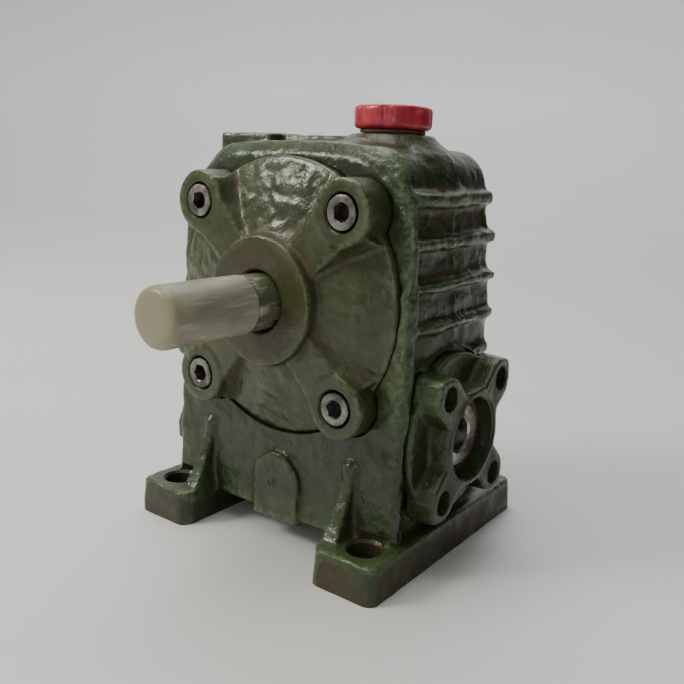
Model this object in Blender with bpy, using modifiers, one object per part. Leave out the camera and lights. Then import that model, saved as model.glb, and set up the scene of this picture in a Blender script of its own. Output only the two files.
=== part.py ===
"""Foot-mounted worm gear reducer, 40 mm centre distance.

A cast-iron case with the worm low along X and the bronze worm wheel above
it on an output shaft along Y.  The front cover carries the output bearing
and seal, a lobed cover on the right carries the input bearing and takes the
motor, a blind cover closes the left end of the worm.

Frame: metres, +Z up, origin at the middle of the footprint box on the
surface the feet stand on.  The case's own centre (the crossing of the two
shaft axes seen from above) sits at (CASE_X, CASE_Y).
"""
import math

import bmesh
import bpy
from mathutils import Matrix, Vector

MM = 0.001
GAP = 0.3                    # gap left between neighbouring solids

# ------------------------------------------------------------ driving sizes
CASE_X, CASE_Y = 0.5, 16.7   # case centre in the part frame
CENTRES = 40.0               # worm axis to wheel axis
WORM_Z = 40.0                # worm axis height
WHEEL_Z = WORM_Z + CENTRES   # output axis height
MODULE = 2.0
TEETH = 30
PITCH = math.pi * MODULE     # axial pitch of the single-start worm
WORM_PR = 10.0               # worm pitch radius
WORM_TIP, WORM_ROOT = 12.0, 7.6
WHEEL_PR = MODULE * TEETH / 2
WHEEL_TIP, WHEEL_ROOT = 32.0, 27.6
LEAD_TAN = MODULE / (2 * WORM_PR)
FRONT, BACK = -30.0, 27.0    # case faces
SEAT_Y = -25.2               # machined seat the front cover bolts to
FOOT_X, FOOT_Y, FOOT_T = 50.0, 45.0, 11.4
FOOT_IN = 27.0
BOLT_X, BOLT_Y, BOLT_R = 40.0, 35.0, 5.0
COVER_R = 42.3
EAR = 28.0                   # cover screw offset in X and Z
EAR_R = 9.5
HUB_R, HUB_Y, ARM_Y = 19.3, -39.5, -36.5
SIDE_X = 44.0                # machined side seats
PLATE_X, PLATE_T, LOBE_X = 45.1, 2.9, 55.0
CAP_LOBE_X = 56.0
PLATE_R = 26.0
LOBE = 16.2                  # side cover screw offset in Y and Z
SHAFT_END = -74.0
SLEEVE_END = -78.4
PLUG_X = 19.0
DRAIN_X, DRAIN_Z = 1.5, 20.4
SIGHT_X, SIGHT_Z = -20.0, 47.0

for ob in list(bpy.data.objects):
    bpy.data.objects.remove(ob, do_unlink=True)


def collection(name):
    col = bpy.data.collections.get(name) or bpy.data.collections.new(name)
    if col.name not in bpy.context.scene.collection.children:
        bpy.context.scene.collection.children.link(col)
    return col


MANY_CUTS = ("housing", "input_cover")   # castings with the most overlapping cuts
PARTS = collection("worm_gearbox")
CUTTERS = collection("cutters")

TURN = {"X": (0, math.pi / 2, 0), "-X": (0, -math.pi / 2, 0),
        "Y": (-math.pi / 2, 0, 0), "-Y": (math.pi / 2, 0, 0),
        "Z": (0, 0, 0), "-Z": (math.pi, 0, 0)}


def empty(name, at, parent=None):
    ob = bpy.data.objects.new(name, None)
    ob.empty_display_size = 0.01
    ob.location = [v * MM for v in at]
    ob.parent = parent
    PARTS.objects.link(ob)
    return ob


CASE = empty("case_centre", (CASE_X, CASE_Y, 0))
OUT_AXIS = empty("output_axis", (0, 0, WHEEL_Z), CASE)
WORM_AXIS = empty("worm_axis", (0, 0, WORM_Z), CASE)
PLUG_AXIS = empty("filler_axis", (PLUG_X, 0, 130.3), CASE)
DRAIN_AXIS = empty("drain_axis", (DRAIN_X, BACK + 2, DRAIN_Z), CASE)


# ---------------------------------------------------------------- materials
def material(name, rgb, rough, metal=0.0):
    m = bpy.data.materials.new(name)
    m.use_nodes = True
    b = m.node_tree.nodes["Principled BSDF"]
    b.inputs["Base Color"].default_value = (*rgb, 1)
    b.inputs["Roughness"].default_value = rough
    b.inputs["Metallic"].default_value = metal
    m.diffuse_color = (*rgb, 1)
    return m


ENAMEL = material("green_enamel", (0.085, 0.12, 0.055), 0.38)
STEEL = material("ground_steel", (0.42, 0.42, 0.42), 0.28, 1.0)
SCREW = material("black_steel", (0.10, 0.10, 0.09), 0.35, 1.0)
BRONZE = material("bronze", (0.55, 0.34, 0.12), 0.35, 1.0)
IRON = material("bare_iron", (0.20, 0.20, 0.20), 0.6, 0.7)
RACE = material("bearing_steel", (0.60, 0.60, 0.60), 0.18, 1.0)
CAGE = material("cage_steel", (0.50, 0.50, 0.48), 0.3, 1.0)
SEAL = material("brown_rubber", (0.10, 0.045, 0.03), 0.6)
PAPER = material("gasket_paper", (0.06, 0.06, 0.05), 0.8)
RED = material("red_plastic", (0.42, 0.02, 0.03), 0.35)
MILK = material("milky_plastic", (0.45, 0.42, 0.33), 0.4)
GLASS = material("clear_plastic", (0.75, 0.78, 0.7), 0.1)


# ------------------------------------------------------------------ helpers
def place(ob, axis, at, parent):
    ob.parent = parent
    ob.rotation_euler = TURN[axis]
    ob.location = [v * MM for v in at]


def finish(ob, mat, smooth=35):
    ob.data.materials.clear()
    ob.data.materials.append(mat)
    ob.data.shade_smooth()
    ob.data.set_sharp_from_angle(angle=math.radians(smooth))


def as_cutter(ob):
    for col in list(ob.users_collection):
        col.objects.unlink(ob)
    CUTTERS.objects.link(ob)
    ob.hide_render = True
    ob.display_type = "WIRE"
    return ob


def from_bm(name, bm):
    me = bpy.data.meshes.new(name)
    bm.to_mesh(me)
    bm.free()
    ob = bpy.data.objects.new(name, me)
    PARTS.objects.link(ob)
    return ob


def baked(ob):
    """The object with its modifiers applied."""
    dg = bpy.context.evaluated_depsgraph_get()
    dg.update()
    me = bpy.data.meshes.new_from_object(ob.evaluated_get(dg))
    ob.modifiers.clear()
    ob.data = me
    return ob


def block(name, x, y, z, bevel=0.0, segments=1, parent=CASE):
    bm = bmesh.new()
    bmesh.ops.create_cube(bm, size=1.0)
    for v in bm.verts:
        v.co = Vector(((x[0] + x[1]) / 2 + v.co.x * (x[1] - x[0]),
                       (y[0] + y[1]) / 2 + v.co.y * (y[1] - y[0]),
                       (z[0] + z[1]) / 2 + v.co.z * (z[1] - z[0]))) * MM
    ob = from_bm(name, bm)
    ob.parent = parent
    if bevel:
        m = ob.modifiers.new("edge", "BEVEL")
        m.width, m.segments = bevel * MM, segments
    return ob


def turned(name, pts, axis, at, parent=CASE, steps=32, ring=False):
    """A turned piece: pts are (radius, place along the axis), listed down
    the outer side.  ring closes the profile on itself."""
    me = bpy.data.meshes.new(name)
    vs = [(r * MM, 0, a * MM) for r, a in pts]
    es = [(i, i + 1) for i in range(len(vs) - 1)]
    if ring:
        es.append((len(vs) - 1, 0))
    me.from_pydata(vs, es, [])
    ob = bpy.data.objects.new(name, me)
    PARTS.objects.link(ob)
    s = ob.modifiers.new("turn", "SCREW")
    s.steps = s.render_steps = steps
    s.use_merge_vertices = True
    s.merge_threshold = 0.00001
    s.use_normal_calculate = False
    place(ob, axis, at, parent)
    return ob


def tube(name, r_in, r_out, a0, a1, axis, at, parent=CASE, steps=32, cham=0.0):
    c = cham
    if c:
        pts = [(r_out - c, a1), (r_out, a1 - c), (r_out, a0 + c), (r_out - c, a0),
               (r_in, a0), (r_in, a1)]
    else:
        pts = [(r_out, a1), (r_out, a0), (r_in, a0), (r_in, a1)]
    return turned(name, pts, axis, at, parent, steps, ring=True)


def rod(name, r, a0, a1, axis, at, parent=CASE, steps=32, cham=0.0):
    c = cham
    pts = [(0, a1), (r - c, a1), (r, a1 - c), (r, a0 + c), (r - c, a0), (0, a0)] if c \
        else [(0, a1), (r, a1), (r, a0), (0, a0)]
    return turned(name, pts, axis, at, parent, steps)


def plate(name, outlines, depth, mid, turn=(0, 0, 0), parent=CASE, at=(0, 0, 0)):
    """A flat outline (first) with holes (the others), as a mesh.
    depth is its whole thickness, mid its offset along its own normal."""
    cu = bpy.data.curves.new(name, "CURVE")
    cu.dimensions = "2D"
    cu.fill_mode = "BOTH"
    cu.extrude = depth / 2 * MM
    for line in outlines:
        sp = cu.splines.new("POLY")
        sp.points.add(len(line) - 1)
        for p, (x, y) in zip(sp.points, line):
            p.co = (x * MM, y * MM, 0, 1)
        sp.use_cyclic_u = True
    co = bpy.data.objects.new(name + "_outline", cu)
    PARTS.objects.link(co)
    dg = bpy.context.evaluated_depsgraph_get()
    dg.update()
    me = bpy.data.meshes.new_from_object(co.evaluated_get(dg))
    bpy.data.objects.remove(co, do_unlink=True)
    bm = bmesh.new()
    bm.from_mesh(me)
    bmesh.ops.remove_doubles(bm, verts=bm.verts, dist=0.000002)
    bmesh.ops.recalc_face_normals(bm, faces=bm.faces)
    bmesh.ops.translate(bm, verts=bm.verts, vec=(0, 0, mid * MM))
    ob = from_bm(name, bm)
    ob.rotation_euler = turn
    ob.location = [v * MM for v in at]
    ob.parent = parent
    return ob


FACE_Y = (math.pi / 2, 0, 0)            # outline (x, z), normal towards -Y
FACE_X = (math.pi / 2, 0, math.pi / 2)  # outline (y, z), normal towards +X


def arc(cx, cy, r, a0, a1, n):
    return [(cx + r * math.cos(math.radians(a0 + (a1 - a0) * i / n)),
             cy + r * math.sin(math.radians(a0 + (a1 - a0) * i / n))) for i in range(n + 1)]


def circle(cx, cy, r, n):
    return arc(cx, cy, r, 0, 360, n)[:-1]


def boolean(ob, other, op):
    as_cutter(other)
    m = ob.modifiers.new(op.lower(), "BOOLEAN")
    m.operation = op
    m.solver = "MANIFOLD" if ob.name in MANY_CUTS else "EXACT"
    m.object = other
    return ob


def cut(ob, *others):
    for o in others:
        boolean(ob, o, "DIFFERENCE")


def add(ob, *others):
    for o in others:
        boolean(ob, o, "UNION")


def loft(name, sections):
    """A closed skin over equal-length outlines, given as lists of (x, y, z)."""
    bm = bmesh.new()
    rings = [[bm.verts.new([c * MM for c in p]) for p in s] for s in sections]
    n = len(rings[0])
    for a, b in zip(rings, rings[1:]):
        for i in range(n):
            bm.faces.new((a[i], a[(i + 1) % n], b[(i + 1) % n], b[i]))
    bm.faces.new(rings[0])
    bm.faces.new(rings[-1])
    bmesh.ops.recalc_face_normals(bm, faces=bm.faces)
    return from_bm(name, bm)


# ------------------------------------------------------------------ housing
def body_outline(y, hw, top, crown, rc, draft=0.0, lean=0.0):
    """Case outline at one place along Y: sides, rounded top corners and a
    slightly crowned top.  draft shears the outline back with height (y is its
    place at z = 30), lean tapers the sides above the output axis."""
    def roof(x):
        return top - crown * x * x
    high = hw - lean * max(0.0, top - rc - WHEEL_Z)
    xc = high - rc
    pts = [(-hw, 9.0), (hw, 9.0), (hw, WHEEL_Z)]
    pts += arc(xc, roof(xc) - rc, rc, 0, 84, 5)
    pts += [(x, roof(x)) for x in (xc * 0.66, xc * 0.33, 0, -xc * 0.33, -xc * 0.66)]
    pts += arc(-xc, roof(xc) - rc, rc, 96, 180, 5)
    pts += [(-hw, WHEEL_Z)]
    return [(x, y + draft * (z - 30.0), z) for x, z in pts]


DRAFT = 0.05                 # the front face leans back with height
LEAN = 0.105                 # the sides lean in above the output axis
housing = loft("housing", [
    body_outline(FRONT, 44.0, 123.2, 0.0028, 22, DRAFT),
    body_outline(-28.6, 45.9, 125.0, 0.0026, 20, DRAFT),
    body_outline(-26.4, 46.6, 127.0, 0.0020, 16, 0.045, LEAN),
    body_outline(-21.0, 43.8, 127.2, 0.0014, 10, 0.0, LEAN),
    body_outline(0.0, 44.2, 127.4, 0.0010, 10, 0.0, LEAN),
    body_outline(24.0, 43.6, 126.8, 0.0007, 10, 0.0, LEAN),
    body_outline(BACK, 42.0, 125.0, 0.0008, 10, 0.0, LEAN)])
housing.parent = CASE

rail = [(FOOT_IN, -FOOT_Y), (FOOT_X - 4, -FOOT_Y), (FOOT_X, -FOOT_Y + 4),
        (FOOT_X, FOOT_Y - 4), (FOOT_X - 4, FOOT_Y), (FOOT_IN, FOOT_Y)]
for side, s in (("right", 1), ("left", -1)):
    line = [(s * x, y) for x, y in rail][::s]
    add(housing, plate("rail_" + side, [line], FOOT_T, FOOT_T / 2))

# thin gussets that run from the lower walls down to the feet
for fy, wall in ((-1, FRONT), (1, BACK)):
    web = [(wall - fy * 3, 10.4), (fy * 40.0, 10.4)]
    web += [(fy * y, z) for y, z in ((39.3, 12.2), (36.6, 17.0), (34.0, 22.5), (32.0, 27.5))]
    web += [(wall + fy * 0.4, 31.0), (wall - fy * 3, 31.5)]
    for s in (-1, 1):
        add(housing, plate(f"gusset{fy}{s}", [web], 4.6, s * 29.6, FACE_X))

# horizontal ribs on both sides, drafted towards the parting line
for i, (z, tip) in enumerate(((112.0, 42.8), (99.8, 44.2), (87.5, 45.4), (75.2, 45.4), (63.4, 45.0))):
    wide = min(tip + 0.9, 46.4) if i < 4 else tip
    near = -25.2 + 0.045 * (z - 30.0)
    for s in (-1, 1):
        line = [(s * 37.0, near), (s * wide, near), (s * wide, 0.0), (s * tip, 25.2), (s * 37.0, 25.2)]
        half = [2.8, 1.2, 1.2, 1.2, 2.8]
        bm = bmesh.new()
        lo = [bm.verts.new((x * MM, y * MM, (z - h) * MM)) for (x, y), h in zip(line, half)]
        hi = [bm.verts.new((x * MM, y * MM, (z + h) * MM)) for (x, y), h in zip(line, half)]
        for k in range(len(line)):
            j = (k + 1) % len(line)
            bm.faces.new((lo[k], lo[j], hi[j], hi[k]))
        bm.faces.new(lo)
        bm.faces.new(hi)
        bmesh.ops.recalc_face_normals(bm, faces=bm.faces)
        rib = from_bm(f"rib{i}{s}", bm)
        rib.parent = CASE
        add(housing, rib)

# bosses: filler, raised pad, rear bearing, side seats, level bosses
add(housing,
    turned("filler_boss", [(0, 130.3), (12.4, 130.3), (15.2, 126.8), (17.2, 124.2), (17.2, 118), (0, 118)],
           "Z", (PLUG_X, 0, 0), steps=20),
    block("top_pad", (-43.0, -20.0), (-13.0, 13.0), (119.0, 129.8), 1.0),
    block("top_bridge", (-22.0, 10.0), (-7.0, 13.0), (118.0, 129.4), 1.0),
    turned("rear_boss", [(0, 38.0), (23.0, 38.0), (24.2, 36.8), (25.4, 26.0), (25.4, 20.0), (0, 20.0)],
           "Y", (0, 0, WHEEL_Z), steps=28),
    turned("seat_right", [(0, SIDE_X + 0.4), (26.6, SIDE_X + 0.4), (27.6, 40.0), (27.6, 38.0), (0, 38.0)], "X", (0, 0, WORM_Z), steps=28),
    turned("seat_left", [(0, SIDE_X + 0.4), (26.6, SIDE_X + 0.4), (27.6, 40.0), (27.6, 38.0), (0, 38.0)], "-X", (0, 0, WORM_Z), steps=28))
boss_line = [(-8.3, 9.6), (11.3, 9.6), (11.3, 20.7)] + arc(DRAIN_X, 20.7, 9.8, 15, 165, 6) + [(-8.3, 20.7)]
add(housing, plate("level_boss_front", [boss_line], 6.0, 29.2, FACE_Y),
    plate("level_boss_rear", [boss_line], 6.0, -26.0, FACE_Y))

# inside: wheel chamber, sump, worm tunnel, bearing pockets, seats, holes
cut(housing,
    rod("wheel_chamber", 34.8, -32.0, 17.0, "Y", (0, 0, WHEEL_Z), steps=32),
    rod("cover_seat", 43.1, -34.0, SEAT_Y, "Y", (0, 0, WHEEL_Z), steps=40),
    block("sump", (-31.0, 31.0), (-20.4, 16.3), (15.0, 62.0), 5.0, 1),
    rod("worm_tunnel", 15.6, -60.0, 60.0, "X", (0, 0, WORM_Z), steps=20),
    rod("right_face", 27.2, SIDE_X, 60.0, "X", (0, 0, WORM_Z), steps=28),
    rod("left_face", 27.2, SIDE_X, 60.0, "-X", (0, 0, WORM_Z), steps=28),
    rod("input_pocket", 18.8, 31.7, 60.0, "X", (0, 0, WORM_Z), steps=20),
    rod("end_pocket", 17.8, 31.7, 60.0, "-X", (0, 0, WORM_Z), steps=24),
    rod("rear_pocket", 20.3, 10.0, 31.0, "Y", (0, 0, WHEEL_Z), steps=24),
    rod("filler_hole", 6.3, 100.0, 140.0, "Z", (PLUG_X, 0, 0), steps=14),
    rod("drain_hole", 5.3, 10.0, 40.0, "Y", (DRAIN_X, 0, DRAIN_Z), steps=14),
    rod("sight_hole", 7.3, 10.0, 40.0, "Y", (SIGHT_X, 0, SIGHT_Z), steps=14))
for sx in (-1, 1):
    for sz in (-1, 1):
        at = (sx * EAR, 0, WHEEL_Z + sz * EAR)
        cut(housing, rod(f"ear_pocket{sx}{sz}", 10.3, -34.0, SEAT_Y, "Y", at, steps=18),
            rod(f"ear_hole{sx}{sz}", 3.2, -34.0, -11.0, "Y", at, steps=8))
        for side, s in (("X", 1), ("-X", -1)):
            cut(housing, rod(f"lobe_hole{side}{sx}{sz}", 2.55, 32.5, 60.0, side,
                             (0, sx * LOBE, WORM_Z + sz * LOBE), steps=8))
        cut(housing, rod(f"foot_hole{sx}{sz}", BOLT_R, -2.0, 14.0, "Z", (sx * BOLT_X, sz * BOLT_Y, 0), steps=16))
finish(housing, ENAMEL)

# -------------------------------------------------------------- front cover
COVER_BACK = -26.3
front_cover = turned("front_cover", [
    (0, -HUB_Y), (HUB_R - 0.6, -HUB_Y), (HUB_R + 0.6, 35.2), (30.0, 32.6),
    (40.6, 29.4), (COVER_R, 28.6), (COVER_R, -COVER_BACK), (34.4, -COVER_BACK), (34.4, 23.2),
    (24.4, 22.2), (24.4, 17.6), (0, 17.6)], "-Y", (0, 0, WHEEL_Z), steps=32)
for k, ang in enumerate((45, 135)):
    bar = plate(f"arm{k}", [[(-40, -7.4), (40, -7.4), (40, 7.4), (-40, 7.4)]], 8.9, 32.05 + 0.04 * k,
                FACE_Y, CASE, (0, 0, WHEEL_Z))
    bar.rotation_euler = (math.pi / 2, math.radians(ang), 0)
    add(front_cover, bar)
for sx in (-1, 1):
    for sz in (-1, 1):
        at = (sx * EAR, 0, WHEEL_Z + sz * EAR)
        add(front_cover, rod(f"ear{sx}{sz}", EAR_R, -COVER_BACK + 0.05, -ARM_Y + 0.1, "-Y", at, steps=16))
        cut(front_cover, rod(f"ear_bore{sx}{sz}", 3.3, 20.0, 45.0, "-Y", at, steps=8),
            rod(f"ear_sink{sx}{sz}", 5.6, 30.5, 45.0, "-Y", at, steps=14))
cut(front_cover,
    rod("cover_bore", 9.4, 10.0, 50.0, "-Y", (0, 0, WHEEL_Z), steps=20),
    rod("seal_pocket", 15.3, 10.0, 37.2, "-Y", (0, 0, WHEEL_Z), steps=20),
    rod("front_pocket", 20.3, 10.0, 30.0, "-Y", (0, 0, WHEEL_Z), steps=24))
finish(front_cover, ENAMEL)

gasket = tube("cover_gasket", 35.3, 42.0, 25.5, 26.0, "-Y", (0, 0, WHEEL_Z), steps=32)
for sx in (-1, 1):
    for sz in (-1, 1):
        cut(gasket, rod(f"gasket_hole{sx}{sz}", 3.3, 20.0, 30.0, "-Y", (sx * EAR, 0, WHEEL_Z + sz * EAR), steps=10))
finish(gasket, PAPER)


# --------------------------------------------------------------- socket screws
def socket_screw(name, head_r, head_h, shank_r, shank_l, key_af, mat, steps):
    """Head on the axis with its seat at 0, shank below it."""
    ob = turned(name, [(0, head_h), (head_r, head_h), (head_r, 0),
                       (shank_r, 0), (shank_r, -shank_l), (0, -shank_l)],
                "Z", (0, 0, 0), steps=steps)
    key = rod(name + "_key", key_af / math.sqrt(3), head_h * 0.42, head_h + 3, "Z", (0, 0, 0), steps=6)
    cut(ob, key)
    baked(ob)
    bpy.data.objects.remove(key, do_unlink=True)
    finish(ob, mat)
    return ob


def repeat(first, names, spots, axis):
    """Copies of one piece that share its mesh, first included."""
    for name, at in zip(names, spots):
        ob = first if name == names[0] else bpy.data.objects.new(name, first.data)
        if ob is not first:
            PARTS.objects.link(ob)
        ob.name = name
        place(ob, axis, at, CASE)


corners = [("upper_left", -1, 1), ("upper_right", 1, 1), ("lower_right", 1, -1), ("lower_left", -1, -1)]
m6 = socket_screw("cover_screw", 5.0, 6.0, 2.9, 18.0, 5.0, SCREW, 12)
repeat(m6, ["cover_screw_" + n for n, _, _ in corners],
       [(sx * EAR, -30.8, WHEEL_Z + sz * EAR) for _, sx, sz in corners], "-Y")
ends = [("front_top", -1, 1), ("rear_top", 1, 1), ("rear_bottom", 1, -1), ("front_bottom", -1, -1)]
m4 = socket_screw("m4", 3.4, 4.0, 2.0, 14.0, 3.0, SCREW, 8)
repeat(m4, ["input_screw_" + n for n, _, _ in ends],
       [(48.0, sy * LOBE, WORM_Z + sz * LOBE) for _, sy, sz in ends], "X")
m4b = bpy.data.objects.new("m4b", m4.data)
PARTS.objects.link(m4b)
repeat(m4b, ["end_cap_screw_" + n for n, _, _ in ends],
       [(-48.8, sy * LOBE, WORM_Z + sz * LOBE) for _, sy, sz in ends], "-X")


# ------------------------------------------------- lobed covers on the worm
def lobed_cover(name, axis_turn, face, bored):
    """Round plate with four corner lobes and a waist between each pair.
    The outline's first coordinate runs along Y, the second along Z."""
    base = plate(name, [circle(0, 0, PLATE_R, 28)], PLATE_T, PLATE_X + PLATE_T / 2, FACE_X, CASE, (0, 0, WORM_Z))
    quarter = [(15.6, 6.2), (21.2, 11.6), (22.6, 15.5), (22.0, 20.6),
               (20.6, 22.0), (15.5, 22.6), (11.6, 21.2), (6.2, 15.6)]
    line = []
    for k in range(4):
        c, s = math.cos(k * math.pi / 2), math.sin(k * math.pi / 2)
        line += [(c * x - s * y, s * x + c * y) for x, y in quarter]
    depth = face - PLATE_X - 0.6
    star = plate(name + "_lobes", [line], depth, face - depth / 2, FACE_X, CASE, (0, 0, WORM_Z))
    add(base, star)
    tall = rod(name + "_nose", 14.4, PLATE_X + 1, face - 0.05, "X", (0, 0, WORM_Z), steps=20)
    add(base, tall)
    return base


input_cover = lobed_cover("input_cover", 1, LOBE_X, True)
add(input_cover, rod("input_spigot", 18.45, 41.4, 46.0, "X", (0, 0, WORM_Z), steps=20))
cut(input_cover, rod("input_bore", 13.0, 45.9, 60.0, "X", (0, 0, WORM_Z), steps=20),
    rod("input_shaft_hole", 10.9, 30.0, 60.0, "X", (0, 0, WORM_Z), steps=20),
    rod("input_relief", 15.0, 30.0, 44.9, "X", (0, 0, WORM_Z), steps=20))
for sy in (-1, 1):
    for sz in (-1, 1):
        at = (0, sy * LOBE, WORM_Z + sz * LOBE)
        cut(input_cover, rod(f"in_sink{sy}{sz}", 3.75, 47.7, 60.0, "X", at, steps=12),
            rod(f"in_bore{sy}{sz}", 2.4, 40.0, 60.0, "X", at, steps=8))
finish(input_cover, ENAMEL)

end_cap = lobed_cover("worm_end_cap", -1, CAP_LOBE_X, False)
add(end_cap, rod("end_spigot", 17.3, 43.3, 46.0, "X", (0, 0, WORM_Z), steps=20))
cut(end_cap, rod("end_relief", 11.0, 40.0, 49.0, "X", (0, 0, WORM_Z), steps=20))
for sy in (-1, 1):
    for sz in (-1, 1):
        at = (0, sy * LOBE, WORM_Z + sz * LOBE)
        cut(end_cap, rod(f"cap_sink{sy}{sz}", 3.75, 48.5, 60.0, "X", at, steps=12),
            rod(f"cap_bore{sy}{sz}", 2.4, 40.0, 60.0, "X", at, steps=8))
baked(end_cap)
end_cap.data.transform(end_cap.rotation_euler.to_matrix().to_4x4())
end_cap.rotation_euler = (0, 0, 0)
end_cap.data.transform(Matrix.Rotation(math.pi, 4, "Z"))
finish(end_cap, ENAMEL)

for name, axis in (("input_cover_gasket", "X"), ("end_cap_gasket", "-X")):
    line = circle(0, 0, 25.6, 24)
    holes = [circle(0, 0, 19.2, 20)] + [circle(sy * LOBE, sz * LOBE, 2.4, 8) for sy in (-1, 1) for sz in (-1, 1)]
    g = plate(name, [line] + holes, 0.5, 44.55 if axis == "X" else -44.55, FACE_X, CASE, (0, 0, WORM_Z))
    finish(g, PAPER)


# ------------------------------------------------------------- output shaft
shaft = turned("output_shaft", [
    (0, 30.4), (8.0, 30.4), (8.5, 29.9), (8.5, 17.4), (12.4, 17.4), (12.4, 9.0), (10.0, 9.0), (10.0, -9.0),
    (8.5, -9.0), (8.5, -46.6), (8.1, -47.0), (7.0, -47.0), (7.0, SHAFT_END + 0.8), (6.2, SHAFT_END), (0, SHAFT_END)],
    "Y", (0, 0, 0), OUT_AXIS, steps=24)
cut(shaft, block("out_keyway", (-2.5, 2.5), (SHAFT_END + 3, -52.0), (4.0, 9.0), parent=OUT_AXIS),
    block("wheel_keyway", (-3.0, 3.0), (-7.5, 7.5), (6.5, 12.0), parent=OUT_AXIS))
finish(shaft, STEEL)

key = block("wheel_key", (-2.7, 2.7), (-7.2, 7.2), (6.8, 12.4), parent=OUT_AXIS)
finish(key, STEEL)

hub = turned("wheel_hub", [
    (16.0, 8.7), (16.0, 4.0), (21.5, 4.0), (21.5, 7.6), (25.3, 7.6), (25.3, -7.6), (21.5, -7.6), (21.5, -4.0),
    (16.0, -4.0), (16.0, -8.7), (10.3, -8.7), (10.3, 8.7)], "Y", (0, 0, 0), OUT_AXIS, steps=24, ring=True)
cut(hub, block("hub_keyway", (-3.0, 3.0), (-12.0, 12.0), (5.0, 12.7), parent=OUT_AXIS))
finish(hub, IRON)

FLANK = math.tan(math.radians(20))
HALF = PITCH / 4 - 0.19        # half a tooth's thickness on the pitch line
teeth = []
for k in range(TEETH):
    mid = -math.pi / 2 + 2 * math.pi * k / TEETH
    for r, s in ((WHEEL_ROOT, -1), (WHEEL_TIP, -1), (WHEEL_TIP, 1), (WHEEL_ROOT, 1)):
        half = HALF - (r - WHEEL_PR) * FLANK
        a = mid + s * half / r
        teeth.append((r * math.cos(a), r * math.sin(a)))
rim = plate("wheel_rim", [teeth, circle(0, 0, 25.6, 30)], 15.6, 0.0, (0, 0, 0), OUT_AXIS)
for v in rim.data.vertices:
    # the teeth lean with the worm's lead; the outline's normal points to -Y
    if v.co.xy.length > 26.5 * MM:
        turn = LEAD_TAN * v.co.z / (WHEEL_PR * MM)
        v.co = Matrix.Rotation(turn, 4, "Z") @ v.co
rim.rotation_euler = FACE_Y
finish(rim, BRONZE, 20)

spacer = tube("shaft_spacer", 8.8, 11.4, -17.3, -9.3, "Y", (0, 0, 0), OUT_AXIS, steps=18)
finish(spacer, STEEL)


# ----------------------------------------------------------------- bearings
def bearing(prefix, bore, od, width, land_in, land_out, balls, start, axis, parent_in, at_in, at_out, steps=18):
    """Ball bearing from start to start + width along its axis."""
    mid = start + width / 2
    a, b = start + 0.05, start + width - 0.05
    pitch_r = (land_in + land_out) / 2
    ball_r = (land_out - land_in) / 2 - 0.25
    outer = tube(prefix + "_outer_ring", land_out, od, a, b, axis, at_out, CASE, steps)
    inner = tube(prefix + "_inner_ring", bore + GAP, land_in, a, b, axis, at_in, parent_in, steps)
    finish(outer, RACE)
    finish(inner, RACE)
    bm = bmesh.new()
    for k in range(balls):
        t = 2 * math.pi * k / balls
        m = Matrix.Translation(((pitch_r * math.cos(t)) * MM, (pitch_r * math.sin(t)) * MM, mid * MM)) \
            @ Matrix.Rotation(t, 4, "Z")
        bmesh.ops.create_uvsphere(bm, u_segments=6, v_segments=3, radius=ball_r * MM, matrix=m)
    ob = from_bm(prefix + "_balls", bm)
    place(ob, axis, at_in, parent_in)
    cage = tube(prefix + "_cage", pitch_r - 0.8, pitch_r + 0.8, mid - ball_r * 0.7, mid + ball_r * 0.7,
                axis, at_in, parent_in, steps=balls * 2)
    add(cage, ob)
    finish(cage, CAGE)


Z0 = (0, 0, 0)
OUT_AT, WORM_AT = (0, 0, WHEEL_Z), (0, 0, WORM_Z)
bearing("output_front_bearing", 8.5, 20.0, 12.0, 11.7, 16.8, 8, -29.7, "Y", OUT_AXIS, Z0, OUT_AT)
bearing("output_rear_bearing", 8.5, 20.0, 12.0, 11.7, 16.8, 8, 17.7, "Y", OUT_AXIS, Z0, OUT_AT)
bearing("input_bearing", 10.0, 18.5, 9.0, 12.2, 16.4, 8, 32.0, "X", WORM_AXIS, Z0, WORM_AT)
bearing("worm_end_bearing", 7.5, 17.5, 11.0, 10.2, 14.8, 8, -43.0, "X", WORM_AXIS, Z0, WORM_AT)

# -------------------------------------------------------------------- seals
out_seal = turned("output_seal", [
    (15.0, -30.6), (15.0, -36.8), (10.2, -36.8), (8.8, -35.2), (8.8, -34.2), (10.6, -32.8), (10.6, -31.4), (12.0, -30.6)],
    "Y", OUT_AT, steps=20, ring=True)
finish(out_seal, SEAL)
in_seal = turned("input_seal", [
    (12.7, 49.8), (12.7, 46.2), (10.9, 46.2), (10.3, 47.2), (10.3, 48.2), (11.2, 49.8)], "X", WORM_AT, steps=20, ring=True)
finish(in_seal, SEAL)

# --------------------------------------------------------------- worm shaft
worm = turned("worm_shaft", [
    (0, 50.3), (9.6, 50.3), (10.0, 49.9), (10.0, 31.7), (12.0, 31.7), (12.0, 24.5), (10.6, 23.1), (WORM_ROOT, 21.8),
    (WORM_ROOT, -21.8), (9.0, -23.2), (10.0, -24.2), (10.0, -31.7), (7.5, -31.7), (7.5, -42.8), (7.0, -43.3), (0, -43.3)],
    "X", (0, 0, 0), WORM_AXIS, steps=16)
half_w = PITCH / 4 - 0.19
prof = [(WORM_TIP, half_w - (WORM_TIP - WORM_PR) * FLANK), (WORM_TIP, -half_w + (WORM_TIP - WORM_PR) * FLANK),
        (6.9, -half_w + (6.9 - WORM_PR) * FLANK), (6.9, half_w - (6.9 - WORM_PR) * FLANK)]
START = -3 * PITCH
thread = turned("thread", [(r, a + START) for r, a in prof], "X", (0, 0, 0), WORM_AXIS, steps=14, ring=True)
sc = thread.modifiers["turn"]
sc.screw_offset = PITCH * MM
sc.iterations = 6
sc.use_merge_vertices = False
baked(thread)
tb = bmesh.new()
tb.from_mesh(thread.data)
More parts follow.
